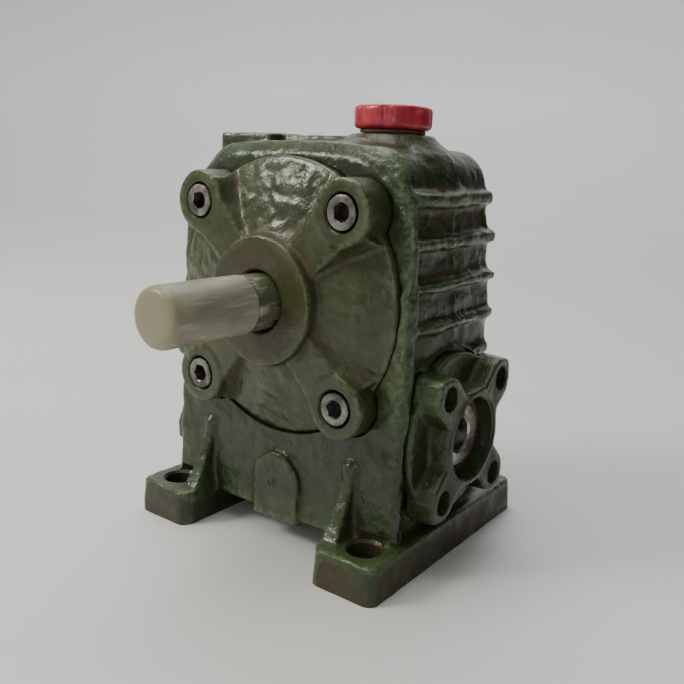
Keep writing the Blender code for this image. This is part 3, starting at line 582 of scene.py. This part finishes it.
# ---------------------------------------------------------------- screws
def screw_mesh(name, head_r, head_h, shank_r, shank_l, af):
    """Socket cap screw standing on its seat, axis Z, measured from the case centre."""
    ob = turned(name, [(0, head_h), (head_r - 0.55, head_h), (head_r - 0.18, head_h - 0.12), (head_r, head_h - 0.45), (head_r, 0.25),
                       (head_r - 0.25, 0), (shank_r, 0), (shank_r, -shank_l + 0.6), (shank_r - 0.6, -shank_l), (0, -shank_l)],
                "Z", steps=64)
    depth = head_h * 0.36
    key = prism("key", hexagon(af, math.radians(12)), depth, head_h + 2, "Z")
    lead = turned("lead", [(0, head_h - 0.5), (af * 0.47, head_h - 0.5), (af / math.sqrt(3) + 0.25, head_h + 0.15), (0, head_h + 0.15)],
                  "Z", steps=48)
    carve(ob, [key, lead])
    shade(ob, 28)
    co = points_mm(ob)
    put_value(ob, "pit", (np.hypot(co[:, 0], co[:, 1]) < af / math.sqrt(3) + 0.1) & (co[:, 2] < head_h - 0.4) & (co[:, 2] > 0.1))
    return ob


def stand(ob, axis, at, body, node):
    """Places a piece built along Z at the case centre onto a working axis."""
    turn = {"-Y": Matrix.Rotation(math.pi / 2, 4, "X"), "X": Matrix.Rotation(math.pi / 2, 4, "Y"),
            "-X": Matrix.Rotation(-math.pi / 2, 4, "Y"), "Z": Matrix.Identity(4)}[axis]
    c = Vector(CASE * 0.001)
    move = Matrix.Translation(c + Vector(at) * 0.001) @ turn @ Matrix.Translation(-c)
    ob.data = ob.data.copy()
    ob.data.transform(move)
    ob.data.update()
    own(ob, body, node)


def own(ob, body, nodes):
    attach(ob, body)
    if nodes:
        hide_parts(*([nodes] if isinstance(nodes, str) else nodes))


def twin(ob, name):
    n = bpy.data.objects.new(name, ob.data)
    bpy.context.scene.collection.objects.link(n)
    return n


own(housing, "gearcase", "housing")
own(cover, "gearcase", "front_cover")
own(input_cover, "gearcase", "input_cover")
own(end_cap, "gearcase", "worm_end_cap")

screws = []
m6 = screw_mesh("m6", 5.0, 6.0, 2.9, 18.0, 5.0)
m4 = screw_mesh("m4", 3.4, 4.0, 2.0, 14.0, 3.0)
for k, (word, sx, sz) in enumerate((("upper_left", -1, 1), ("upper_right", 1, 1), ("lower_right", 1, -1), ("lower_left", -1, -1))):
    o = twin(m6, "cover_bolt_" + word)
    o.data = m6.data.copy()
    c = Vector(CASE * 0.001)
    o.data.transform(Matrix.Translation(c) @ Matrix.Rotation(math.radians(17 * k + 4), 4, "Z") @ Matrix.Translation(-c))
    stand(o, "-Y", (sx * EAR, -30.8, WHEEL_Z + sz * EAR), "gearcase", "cover_screw_" + word)
    screws.append(o)
for k, (word, sy, sz) in enumerate((("front_top", -1, 1), ("rear_top", 1, 1), ("rear_bottom", 1, -1), ("front_bottom", -1, -1))):
    for side, axis, at in (("input", "X", 48.0), ("end_cap", "-X", -48.8)):
        o = twin(m4, side + "_bolt_" + word)
        stand(o, axis, (at, sy * LOBE, WORM_Z + sz * LOBE), "gearcase", side + "_screw_" + word)
        screws.append(o)
for o in (m6, m4):
    bpy.data.objects.remove(o, do_unlink=True)


# ---------------------------------------------------------------- shafts, seals
W = (0, 0, WHEEL_Z)
shaft = turned("output_shaft_turned", [
    (0, 30.4), (8.0, 30.4), (8.5, 29.9), (8.5, 17.4), (12.1, 17.4), (12.4, 17.1), (12.4, 9.3), (12.1, 9.0), (10.0, 9.0), (10.0, -9.0),
    (8.5, -9.0), (8.5, -46.5), (8.35, -46.85), (8.0, -47.0), (7.0, -47.0), (7.0, -73.2), (6.2, -74.0), (0, -74.0)], "Y", W, 96)
slot_ends = [(2.5 * math.cos(t), 2.5 * math.sin(t)) for t in np.linspace(0, math.pi, 13)]
out_key = [(u, -54.5 + v) for u, v in slot_ends] + [(-u, -68.5 - v) for u, v in slot_ends]
carve(shaft, [prism("out_keyway", out_key, WHEEL_Z + 4.0, WHEEL_Z + 9.0, "Z"),
              block("wheel_keyway", (-3.0, 3.0), (-7.5, 7.5), (WHEEL_Z + 6.5, WHEEL_Z + 12.0))])
shade(shaft, 28)
own(shaft, "output", "output_shaft")

out_seal = turned("output_lip_seal", [
    (14.7, -30.6), (15.0, -30.9), (15.0, -36.5), (14.7, -36.8), (10.6, -36.8), (9.9, -36.5), (8.85, -35.0), (8.8, -34.6), (9.1, -34.0),
    (10.6, -32.8), (10.6, -31.4), (12.0, -30.6)], "Y", W, 96, ring=True)
shade(out_seal, 30)
own(out_seal, "gearcase", "output_seal")
in_seal = turned("input_lip_seal", [
    (12.4, 49.8), (12.7, 49.5), (12.7, 46.5), (12.4, 46.2), (10.9, 46.2), (10.35, 47.2), (10.3, 47.7), (10.5, 48.4), (11.1, 49.5),
    (11.5, 49.8)], "X", (0, 0, WORM_Z), 80, ring=True)
shade(in_seal, 30)
own(in_seal, "gearcase", "input_seal")

# worm: body, helical thread, hollow end
worm = turned("worm_turned", [
    (0, 50.3), (9.6, 50.3), (10.0, 49.9), (10.0, 31.7), (12.0, 31.7), (12.0, 24.5), (10.6, 23.1), (7.6, 21.8), (7.6, -21.8), (9.0, -23.2),
    (10.0, -24.2), (10.0, -31.7), (7.5, -31.7), (7.5, -42.8), (7.0, -43.3), (0, -43.3)], "X", (0, 0, WORM_Z), 72)
FL = math.tan(math.radians(20))
PITCH = 2.0 * math.pi
HALF = PITCH / 4 - 0.19
prof = [(12.0, HALF - 2 * FL), (12.0, -HALF + 2 * FL), (6.9, -HALF - 3.1 * FL), (6.9, HALF + 3.1 * FL)]
per = 40
secs = 6 * per + 1
tv, tf = [], []
for i in range(secs):
    t = 2 * math.pi * i / per
    for r, a in prof:
        tv.append((a + PITCH * (i / per - 3.0), r * math.sin(t), WORM_Z - r * math.cos(t)))
for i in range(secs - 1):
    for k in range(4):
        a, b = i * 4 + k, i * 4 + (k + 1) % 4
        tf.append((a, b, b + 4, a + 4))
tf += [(0, 1, 2, 3), tuple(range(secs * 4 - 4, secs * 4))]
thread = mesh_ob("thread", tv, tf)
bm = bmesh.new()
bm.from_mesh(thread.data)
bmesh.ops.recalc_face_normals(bm, faces=bm.faces)
bm.to_mesh(thread.data)
bm.free()
carve(worm, [thread], "UNION")
carve(worm, [turned("hollow", [(0, 22.0), (5.5, 22.0), (5.5, 49.7), (6.1, 50.3), (6.1, 55), (0, 55)], "X", (0, 0, WORM_Z), 64),
             block("in_keyway", (26.0, 56.0), (-2.0, 2.0), (WORM_Z + 2.0, WORM_Z + 7.3))])
shade(worm, 30)
own(worm, "worm", "worm_shaft")


# ---------------------------------------------------------------- sleeve
sleeve = turned("slip_sleeve", [
    (0, 78.4), (4.5, 78.38), (6.6, 78.25), (7.6, 77.9), (8.25, 77.3), (8.6, 76.4), (8.7, 75.2)]
    + [(8.7 - 0.05 * (k % 2), 75.2 - k * 2.3) for k in range(1, 12)] + [(8.68, 47.55), (8.4, 47.3), (7.7, 47.3), (7.4, 47.6), (7.4, 73.9), (6.9, 74.4), (0, 74.4)],
    "-Y", W, 96)
shade(sleeve, 40)
own(sleeve, "sleeve", "shaft_sleeve")


# ---------------------------------------------------------------- filler plug
def plug_field(axes):
    x, y, z = grids(axes)
    r, t = length(x, y), np.arctan2(y, x)
    d = smax(r - 12.0, np.abs(z - 4.85) - 3.4, 1.7)
    lower = smax(r - 10.6, np.abs(z - 2.6) - 1.05, 0.8)
    d = smin(d, lower, 0.6)
    k = 2 * math.pi / 8
    u = (np.round(t / k - 0.5) + 0.5) * k
    flute = length(x - 13.5 * np.cos(u), y - 13.5 * np.sin(u)) - 2.1
    d = smax(d, -flute, 1.0)
    dish = smax(r - 8.6, -(z - 7.75), 0.7)
    d = smax(d, -dish, 0.7)
    bar = smax(smax(np.abs(y) - 2.0, np.abs(x) - 7.9, 1.0), z - 8.15, 0.7)
    d = smin(d, np.maximum(bar, 5.0 - z), 1.0)
    return d + lumps(axes, 4.0, 51) * 0.03


print("plug")
p_axes = axes_of((-13.2, -13.2, 0.4), (13.2, 13.2, 9.4), 0.3)
p_field = plug_field(p_axes)
pts, quads = skin(p_axes, p_field)
plug = mesh_ob("filler_cap", pts + np.array([PLUG_X, 0, 130.3]), quads)
carve(plug, [turned("stem", [(0, 132.6), (6.0, 132.6), (6.0, 119.6), (5.4, 119.0), (0, 119.0)], "Z", (PLUG_X, 0, 0), 48)], "UNION")
shade(plug, 40)
own(plug, "filler", "filler_plug")
washer = turned("filler_seal_ring", [(6.5, 130.65), (6.4, 131.1), (6.55, 131.5), (10.0, 131.5), (10.2, 131.2), (10.1, 130.6), (6.7, 130.6)],
                "Z", (PLUG_X, 0, 0), 72, ring=True)
shade(washer, 30)
own(washer, "filler_lift", "filler_washer")

# ---------------------------------------------------------------- drain, glass
D = (DRAIN[0], 0, DRAIN[1])
drain = turned("drain_bolt", [
    (0, 35.6), (5.8, 35.6), (6.9, 35.1), (8.6, 34.1), (8.6, 30.6), (5.0, 30.6), (5.0, 20.6), (4.5, 20.0), (0, 20.0)], "Y", D, 72)
carve(drain, [prism("hexa", hexagon(13.0), 10.0, 50.0, "Y", D)], "INTERSECT")
shade(drain, 25)
own(drain, "drain", "drain_plug")
dring = turned("drain_seal_ring", [(5.4, 29.3), (5.3, 29.5), (5.3, 30.1), (5.45, 30.3), (7.45, 30.3), (7.6, 30.1), (7.6, 29.5), (7.5, 29.3)],
               "Y", D, 64, ring=True)
shade(dring, 30)
own(dring, "drain_lift", "drain_washer")
G = (SIGHT[0], BACK, SIGHT[1])
bezel = turned("glass_bezel", [
    (9.3, 3.2), (10.1, 2.9), (10.4, 2.2), (10.4, 0.5), (10.2, 0.3), (7.0, 0.3), (7.0, -5.8), (6.8, -6.0), (5.2, -6.0), (5.2, -1.3), (6.3, -1.3),
    (6.3, 2.9), (6.6, 3.2)], "Y", G, 72, ring=True)
shade(bezel, 28)
own(bezel, "gearcase", "sight_glass_bezel")
lens = turned("glass_lens", [(0, 2.35), (2.5, 2.3), (4.6, 2.1), (5.7, 1.8), (6.0, 1.5), (6.0, -0.7), (5.7, -1.0), (0, -1.0)], "Y", G, 64)
shade(lens, 40)
own(lens, "gearcase", "sight_glass_lens")


# ---------------------------------------------------------------- materials
class Nodes:
    """Small helper that wires a material's nodes."""

    def __init__(self, name):
        self.mat = bpy.data.materials.new(name)
        self.mat.use_nodes = True
        self.t = self.mat.node_tree
        self.t.nodes.clear()
        self.out = self.t.nodes.new("ShaderNodeOutputMaterial")
        self.p = self.t.nodes.new("ShaderNodeBsdfPrincipled")
        self.t.links.new(self.p.outputs[0], self.out.inputs[0])
        self.co = self.t.nodes.new("ShaderNodeTexCoord").outputs["Object"]

    def link(self, a, b):
        self.t.links.new(a, b)

    def feed(self, sock, v):
        if isinstance(v, (int, float)):
            sock.default_value = v
        elif isinstance(v, tuple):
            sock.default_value = (*v, 1.0) if len(v) == 3 and len(sock.default_value) == 4 else v
        else:
            self.link(v, sock)

    def noise(self, scale, detail=3.0, rough=0.55, stretch=None, kind=None):
        n = self.t.nodes.new("ShaderNodeTexNoise")
        n.inputs["Scale"].default_value = scale
        n.inputs["Detail"].default_value = detail
        n.inputs["Roughness"].default_value = rough
        src = self.co
        if stretch:
            m = self.t.nodes.new("ShaderNodeMapping")
            m.inputs["Scale"].default_value = stretch
            self.link(src, m.inputs[0])
            src = m.outputs[0]
        self.link(src, n.inputs["Vector"])
        return n.outputs[0]

    def cells(self, scale):
        n = self.t.nodes.new("ShaderNodeTexVoronoi")
        n.feature = "SMOOTH_F1"
        n.inputs["Scale"].default_value = scale
        self.link(self.co, n.inputs["Vector"])
        return n.outputs["Distance"]

    def attr(self, name):
        a = self.t.nodes.new("ShaderNodeAttribute")
        a.attribute_name = name
        return a.outputs["Fac"]

    def height(self):
        s = self.t.nodes.new("ShaderNodeSeparateXYZ")
        self.link(self.co, s.inputs[0])
        return s.outputs

    def facing(self):
        g = self.t.nodes.new("ShaderNodeNewGeometry")
        s = self.t.nodes.new("ShaderNodeSeparateXYZ")
        self.link(g.outputs["Normal"], s.inputs[0])
        return s.outputs

    def ramp(self, v, lo, hi, a=0.0, b=1.0):
        n = self.t.nodes.new("ShaderNodeMapRange")
        n.interpolation_type = "SMOOTHSTEP"
        self.feed(n.inputs["Value"], v)
        for k, x in (("From Min", lo), ("From Max", hi), ("To Min", a), ("To Max", b)):
            n.inputs[k].default_value = x
        return n.outputs[0]

    def math(self, op, a, b=0.0, c=0.0):
        n = self.t.nodes.new("ShaderNodeMath")
        n.operation = op
        self.feed(n.inputs[0], a)
        self.feed(n.inputs[1], b)
        if op == "MULTIPLY_ADD":
            self.feed(n.inputs[2], c)
        return n.outputs[0]

    def mix(self, f, a, b):
        n = self.t.nodes.new("ShaderNodeMix")
        n.data_type = "RGBA"
        self.feed(n.inputs["Factor"], f)
        self.feed(n.inputs["A"], a)
        self.feed(n.inputs["B"], b)
        return n.outputs["Result"]

    def bump(self, h, dist, strength=1.0, under=None):
        n = self.t.nodes.new("ShaderNodeBump")
        n.inputs["Distance"].default_value = dist
        n.inputs["Strength"].default_value = strength
        self.feed(n.inputs["Height"], h)
        if under is not None:
            self.link(under, n.inputs["Normal"])
        return n.outputs[0]

    def set(self, **kw):
        for k, v in kw.items():
            self.feed(self.p.inputs[k.replace("_", " ")], v)
        return self.mat


def enamel(name, base, deep, pale, stain, stain_amount, coarse):
    n = Nodes(name)
    hollow = n.attr("hollow")
    tone = n.noise(38, 4, 0.6)
    blotch = n.noise(120, 4, 0.6)
    fine = n.noise(620, 3, 0.6)
    col = n.mix(n.ramp(tone, 0.35, 0.68), deep, base)
    col = n.mix(n.math("MULTIPLY", n.ramp(blotch, 0.5, 0.72), 0.32), col, pale)
    # paler paint on the high spots, partly wear and partly painted highlight; dirt and rust held in the hollows
    wear_and_edge_highlight = n.math("MULTIPLY", n.ramp(hollow, -0.22, -0.75), n.ramp(fine, 0.35, 0.6))
    col = n.mix(n.math("MULTIPLY", wear_and_edge_highlight, 0.7), col, pale)
    held = n.math("MULTIPLY", n.ramp(hollow, 0.10, 0.62), n.ramp(blotch, 0.30, 0.58))
    col = n.mix(n.math("MULTIPLY", held, stain_amount), col, stain)
    drip = n.noise(26, 3, 0.55, stretch=(3.2, 3.2, 0.75))
    low = n.ramp(n.height()[2], 0.100, 0.030)
    col = n.mix(n.math("MULTIPLY", n.math("MULTIPLY", n.ramp(drip, 0.55, 0.75), low), 0.55 * stain_amount), col, stain)
    z = n.height()[2]
    # painted shade: the case darkened in a band low down, from the foot tops up to about 60 mm
    low_band_shade = n.math("MULTIPLY", n.ramp(z, 0.012, 0.020), n.ramp(z, 0.060, 0.036))
    col = n.mix(n.math("MULTIPLY", low_band_shade, 0.6), col, deep)
    # upward faces paler: partly dust, partly painted light from above
    dust_and_top_sheen = n.math("MULTIPLY", n.ramp(n.facing()[2], 0.55, 0.95), n.ramp(tone, 0.3, 0.7, 0.25, 0.75))
    col = n.mix(n.math("MULTIPLY", dust_and_top_sheen, 0.3), col, pale)
    rough = n.math("ADD", n.ramp(blotch, 0.3, 0.7, 0.22, 0.36), n.math("MULTIPLY", held, 0.25))
    rough = n.math("ADD", rough, n.math("MULTIPLY", dust_and_top_sheen, 0.14))
    b = n.bump(n.noise(300, 4, 0.6), 0.00045 * coarse)
    b = n.bump(n.noise(1100, 2, 0.5), 0.00008, 1.0, b)
    b = n.bump(n.cells(520), 0.00022 * coarse, 0.8, b)
    return n.set(Base_Color=col, Roughness=rough, Normal=b, Specular_IOR_Level=0.46, Coat_Weight=0.10, Coat_Roughness=0.15)


def metal(name, light, dark, rough, axis_stretch=None, paint=None, dirt=None, scale=220, pit=False):
    n = Nodes(name)
    tone = n.noise(scale, 4, 0.6, stretch=axis_stretch)
    speck = n.noise(900, 2, 0.5)
    col = n.mix(n.ramp(tone, 0.35, 0.65), dark, light)
    metallic, r = 1.0, n.math("ADD", n.ramp(tone, 0.3, 0.7, rough, rough + 0.16), n.ramp(speck, 0.55, 0.75, 0.0, 0.12))
    if dirt:
        m = n.ramp(n.noise(150, 5, 0.65), 0.52, 0.66)
        col = n.mix(n.math("MULTIPLY", m, 0.8), col, dirt)
        r = n.math("ADD", r, n.math("MULTIPLY", m, 0.25))
        metallic = n.math("SUBTRACT", 1.0, n.math("MULTIPLY", m, 0.8))
    if paint:
        y = n.height()[1]
        edge = n.math("ADD", y, n.math("MULTIPLY", n.noise(260, 3, 0.6), 0.006))
        m = n.math("MULTIPLY", n.ramp(edge, -0.0305, -0.0290), n.ramp(n.noise(330, 4, 0.65, stretch=(1, 0.25, 1)), 0.60, 0.50))
        col = n.mix(m, col, paint)
        metallic = n.math("SUBTRACT", 1.0, m)
        r = n.mix(m, n_gray(n, r), (0.36, 0.36, 0.36))
    if pit:
        # socket darkened almost to black: painted shade in the socket
        m = n.math("MULTIPLY", n.attr("pit"), 0.92)
        col = n.mix(m, col, (0.010, 0.009, 0.007))
        metallic = n.math("MULTIPLY", metallic, n.math("SUBTRACT", 1.0, m))
        r = n.math("ADD", r, n.math("MULTIPLY", m, 0.2))
    b = n.bump(tone, 0.00003)
    b = n.bump(speck, 0.00002, 1.0, b)
    return n.set(Base_Color=col, Roughness=r, Metallic=metallic, Normal=b)


def n_gray(n, v):
    c = n.t.nodes.new("ShaderNodeCombineColor")
    for k in range(3):
        n.feed(c.inputs[k], v)
    return c.outputs[0]


def plastic(name, a, b, rough, coat=0.0, sub=0.0, trans=0.0, scuff=None, scale=90):
    n = Nodes(name)
    tone = n.noise(scale, 4, 0.6)
    col = n.mix(n.ramp(tone, 0.35, 0.65), a, b)
    m = n.ramp(n.noise(420, 4, 0.65, stretch=(1, 0.3, 1)), 0.56, 0.68)
    if scuff:
        col = n.mix(n.math("MULTIPLY", m, 0.55), col, scuff)
    r = n.math("ADD", n.ramp(tone, 0.3, 0.7, rough, rough + 0.12), n.math("MULTIPLY", m, 0.15))
    bp = n.bump(n.noise(700, 3, 0.5), 0.00005)
    bp = n.bump(tone, 0.00018, 1.0, bp)
    mat = n.set(Base_Color=col, Roughness=r, Normal=bp, Coat_Weight=coat)
    if sub:
        n.set(Subsurface_Weight=sub, Subsurface_Scale=0.003)
        n.p.inputs["Subsurface Radius"].default_value = (1.0, 0.85, 0.6)
    if trans:
        n.set(Transmission_Weight=trans)
    return mat


GREEN = enamel("olive_enamel", (0.031, 0.052, 0.013), (0.014, 0.024, 0.006), (0.082, 0.118, 0.052), (0.040, 0.022, 0.007), 0.85, 0.9)
COVER = enamel("olive_enamel_cover", (0.044, 0.056, 0.016), (0.025, 0.034, 0.008), (0.098, 0.118, 0.056), (0.038, 0.022, 0.007), 0.75, 0.55)
SCREW = metal("black_oxide", (0.30, 0.29, 0.26), (0.09, 0.088, 0.078), 0.26, dirt=(0.05, 0.035, 0.02), pit=True)
STEEL = metal("turned_steel", (0.60, 0.58, 0.55), (0.42, 0.40, 0.38), 0.22, (1, 0.15, 1), paint=None, dirt=(0.22, 0.15, 0.10))
SHAFT = metal("shaft_painted_end", (0.52, 0.50, 0.45), (0.34, 0.33, 0.28), 0.24, (1, 0.2, 1), paint=(0.07, 0.088, 0.040))
IRON = metal("bare_casting", (0.22, 0.21, 0.20), (0.12, 0.115, 0.11), 0.5)
BRONZE = metal("cast_bronze", (0.66, 0.42, 0.18), (0.46, 0.27, 0.10), 0.28)
RACE = metal("bearing_race", (0.74, 0.74, 0.74), (0.55, 0.55, 0.56), 0.12)
RUBBER = plastic("brown_rubber", (0.075, 0.032, 0.020), (0.12, 0.055, 0.034), 0.5)
PAPER = plastic("gasket_board", (0.045, 0.045, 0.038), (0.075, 0.073, 0.060), 0.75)
RED = plastic("red_moulding", (0.33, 0.013, 0.027), (0.47, 0.030, 0.048), 0.30, coat=0.15, scuff=(0.42, 0.12, 0.13))
GLASS = plastic("clear_glass", (0.70, 0.74, 0.62), (0.80, 0.82, 0.72), 0.06, trans=0.85)


def milky():
    n = Nodes("milky_sleeve")
    y = n.height()[1]
    tone = n.noise(75, 4, 0.6, stretch=(1, 0.35, 1))
    body = n.mix(n.ramp(tone, 0.35, 0.66), (0.25, 0.245, 0.185), (0.42, 0.41, 0.32))
    # tinted yellower towards the closed end, where there is no shaft behind it: painted light shining through the
    # plastic
    col = n.mix(n.ramp(y, -0.0560, -0.0612), body, (0.30, 0.285, 0.18))
    scr = n.math("MULTIPLY", n.ramp(n.noise(520, 4, 0.6, stretch=(1, 0.12, 1)), 0.55, 0.66), n.ramp(y, -0.0612, -0.0585))
    col = n.mix(n.math("MULTIPLY", scr, 0.35), col, (0.72, 0.70, 0.62))
    r = n.math("ADD", n.ramp(tone, 0.3, 0.7, 0.28, 0.42), n.math("MULTIPLY", scr, 0.12))
    b = n.bump(tone, 0.0004)
    b = n.bump(n.noise(600, 3, 0.6, stretch=(1, 0.3, 1)), 0.00006, 1.0, b)
    n.set(Base_Color=col, Roughness=r, Normal=b, Subsurface_Weight=0.5, Subsurface_Scale=0.004, Transmission_Weight=0.18)
    n.p.inputs["Subsurface Radius"].default_value = (1.0, 0.85, 0.6)
    return n.mat


MILK = milky()


def dress(ob, mat):
    ob.data.materials.clear()
    ob.data.materials.append(mat)


dress(housing, GREEN)
dress(cover, COVER)
dress(input_cover, GREEN)
dress(end_cap, GREEN)
for o in screws:
    dress(o, SCREW)
for o, m in ((shaft, SHAFT), (worm, STEEL), (drain, STEEL), (bezel, STEEL), (out_seal, RUBBER), (in_seal, RUBBER), (washer, RUBBER),
             (dring, BRONZE), (lens, GLASS), (sleeve, MILK), (plug, RED)):
    dress(o, m)

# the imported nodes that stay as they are
KEEP = {"cover_gasket": PAPER, "input_cover_gasket": PAPER, "end_cap_gasket": PAPER, "wheel_key": STEEL, "shaft_spacer": STEEL,
        "wheel_hub": IRON, "wheel_rim": BRONZE}
for name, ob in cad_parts.items():
    m = KEEP.get(name) or (RACE if "bearing" in name else None)
    if m is not None:
        for s in ob.material_slots:
            s.material = m
        if not ob.material_slots:
            ob.data.materials.append(m)


# ---------------------------------------------------------------- stage, light
def ground():
    """A wide pale floor."""
    steps = 96
    v = [(0, 0, 0)] + [(6.0 * math.cos(2 * math.pi * k / steps), 6.0 * math.sin(2 * math.pi * k / steps), 0) for k in range(steps)]
    f = [(0, 1 + k, 1 + (k + 1) % steps) for k in range(steps)]
    # a sweep behind the object only
    prof = [(1.6 + 0.6 * math.sin(t), 0.6002 - 0.6 * math.cos(t)) for t in np.linspace(0, math.pi / 2, 14)] + [(2.2, 2.6)]
    cols = 40
    base = len(v)
    for r, z in prof:
        for k in range(cols + 1):
            t = math.radians(82 + 100 * k / cols)
            v.append((r * math.cos(t), r * math.sin(t), z))
    for i in range(len(prof) - 1):
        for k in range(cols):
            a = base + i * (cols + 1) + k
            f.append((a, a + 1, a + cols + 2, a + cols + 1))
    me = bpy.data.meshes.new("studio_floor")
    me.from_pydata(v, [], f)
    me.polygons.foreach_set("use_smooth", np.ones(len(f), dtype=bool))
    ob = bpy.data.objects.new("studio_floor", me)
    bpy.context.scene.collection.objects.link(ob)
    n = Nodes("pale_floor")
    tone = n.noise(3.0, 3, 0.5)
    me.materials.append(n.set(Base_Color=n.mix(tone, (0.66, 0.66, 0.67), (0.71, 0.71, 0.72)),
                              Roughness=n.ramp(tone, 0.3, 0.7, 0.45, 0.6), Normal=n.bump(n.noise(400, 2, 0.5), 0.00002)))
    return ob


floor = ground()


def area(name, at, aim, size, power, colour=(1, 1, 1)):
    d = bpy.data.lights.new(name, "AREA")
    d.shape = "RECTANGLE"
    d.size, d.size_y = size
    d.energy = power
    d.color = colour
    o = bpy.data.objects.new(name, d)
    o.location = at
    o.rotation_euler = (Vector(aim) - Vector(at)).to_track_quat("-Z", "Y").to_euler()
    bpy.context.scene.collection.objects.link(o)
    return o


area("key", (-0.60, -0.62, 0.72), (0, 0, 0.07), (0.30, 0.30), 7.2, (1.0, 0.96, 0.87))
area("top", (-0.15, -0.05, 0.95), (0, 0, 0.05), (0.6, 0.4), 4.0, (1.0, 0.97, 0.90))
area("backdrop", (-0.75, 1.05, 1.9), (-1.25, 1.8, 0.45), (1.6, 0.4), 26.0)
area("edge", (0.42, -0.70, 0.30), (0, 0, 0.06), (0.06, 0.5), 0.7, (0.95, 0.98, 1.0))
world = bpy.data.worlds.new("studio")
world.use_nodes = True
wt = world.node_tree
bg = wt.nodes["Background"]
wc = wt.nodes.new("ShaderNodeTexCoord")
# a soft sky, bright up and to the left, dark on the right
dot = wt.nodes.new("ShaderNodeVectorMath")
dot.operation = "DOT_PRODUCT"
wt.links.new(wc.outputs["Generated"], dot.inputs[0])
dot.inputs[1].default_value = (-0.62, -0.42, 0.66)
sky = wt.nodes.new("ShaderNodeMapRange")
sky.interpolation_type = "SMOOTHSTEP"
wt.links.new(dot.outputs["Value"], sky.inputs["Value"])
for k, v in (("From Min", -0.55), ("From Max", 0.80), ("To Min", 0.03), ("To Max", 0.50)):
    sky.inputs[k].default_value = v
wt.links.new(sky.outputs[0], bg.inputs["Strength"])
bg.inputs["Color"].default_value = (0.96, 0.96, 0.89, 1)
bpy.context.scene.world = world

# ---------------------------------------------------------------- camera
AZ, PITCH_DOWN, ROLL = 0.619, -0.237, 0.044
fwd = Vector((-math.sin(AZ) * math.cos(PITCH_DOWN), math.cos(AZ) * math.cos(PITCH_DOWN), math.sin(PITCH_DOWN)))
right = Vector((math.cos(AZ), math.sin(AZ), 0))
up = right.cross(fwd)
r2 = right * math.cos(ROLL) + up * math.sin(ROLL)
u2 = up * math.cos(ROLL) - right * math.sin(ROLL)
cam_data = bpy.data.cameras.new("camera")
cam_data.sensor_width = 36.0
cam_data.lens = 40.13
cam_data.shift_x = -0.02758
cam_data.shift_y = 0.01121
cam_data.clip_start = 0.01
cam_data.clip_end = 20
cam = bpy.data.objects.new("camera", cam_data)
m = Matrix.Identity(4)
for i in range(3):
    m[i][0], m[i][1], m[i][2] = r2[i], u2[i], -fwd[i]
m.translation = Vector((0.155764, -0.186459, 0.120698))
cam.matrix_world = m
bpy.context.scene.collection.objects.link(cam)
bpy.context.scene.camera = cam

bpy.context.view_layer.update()
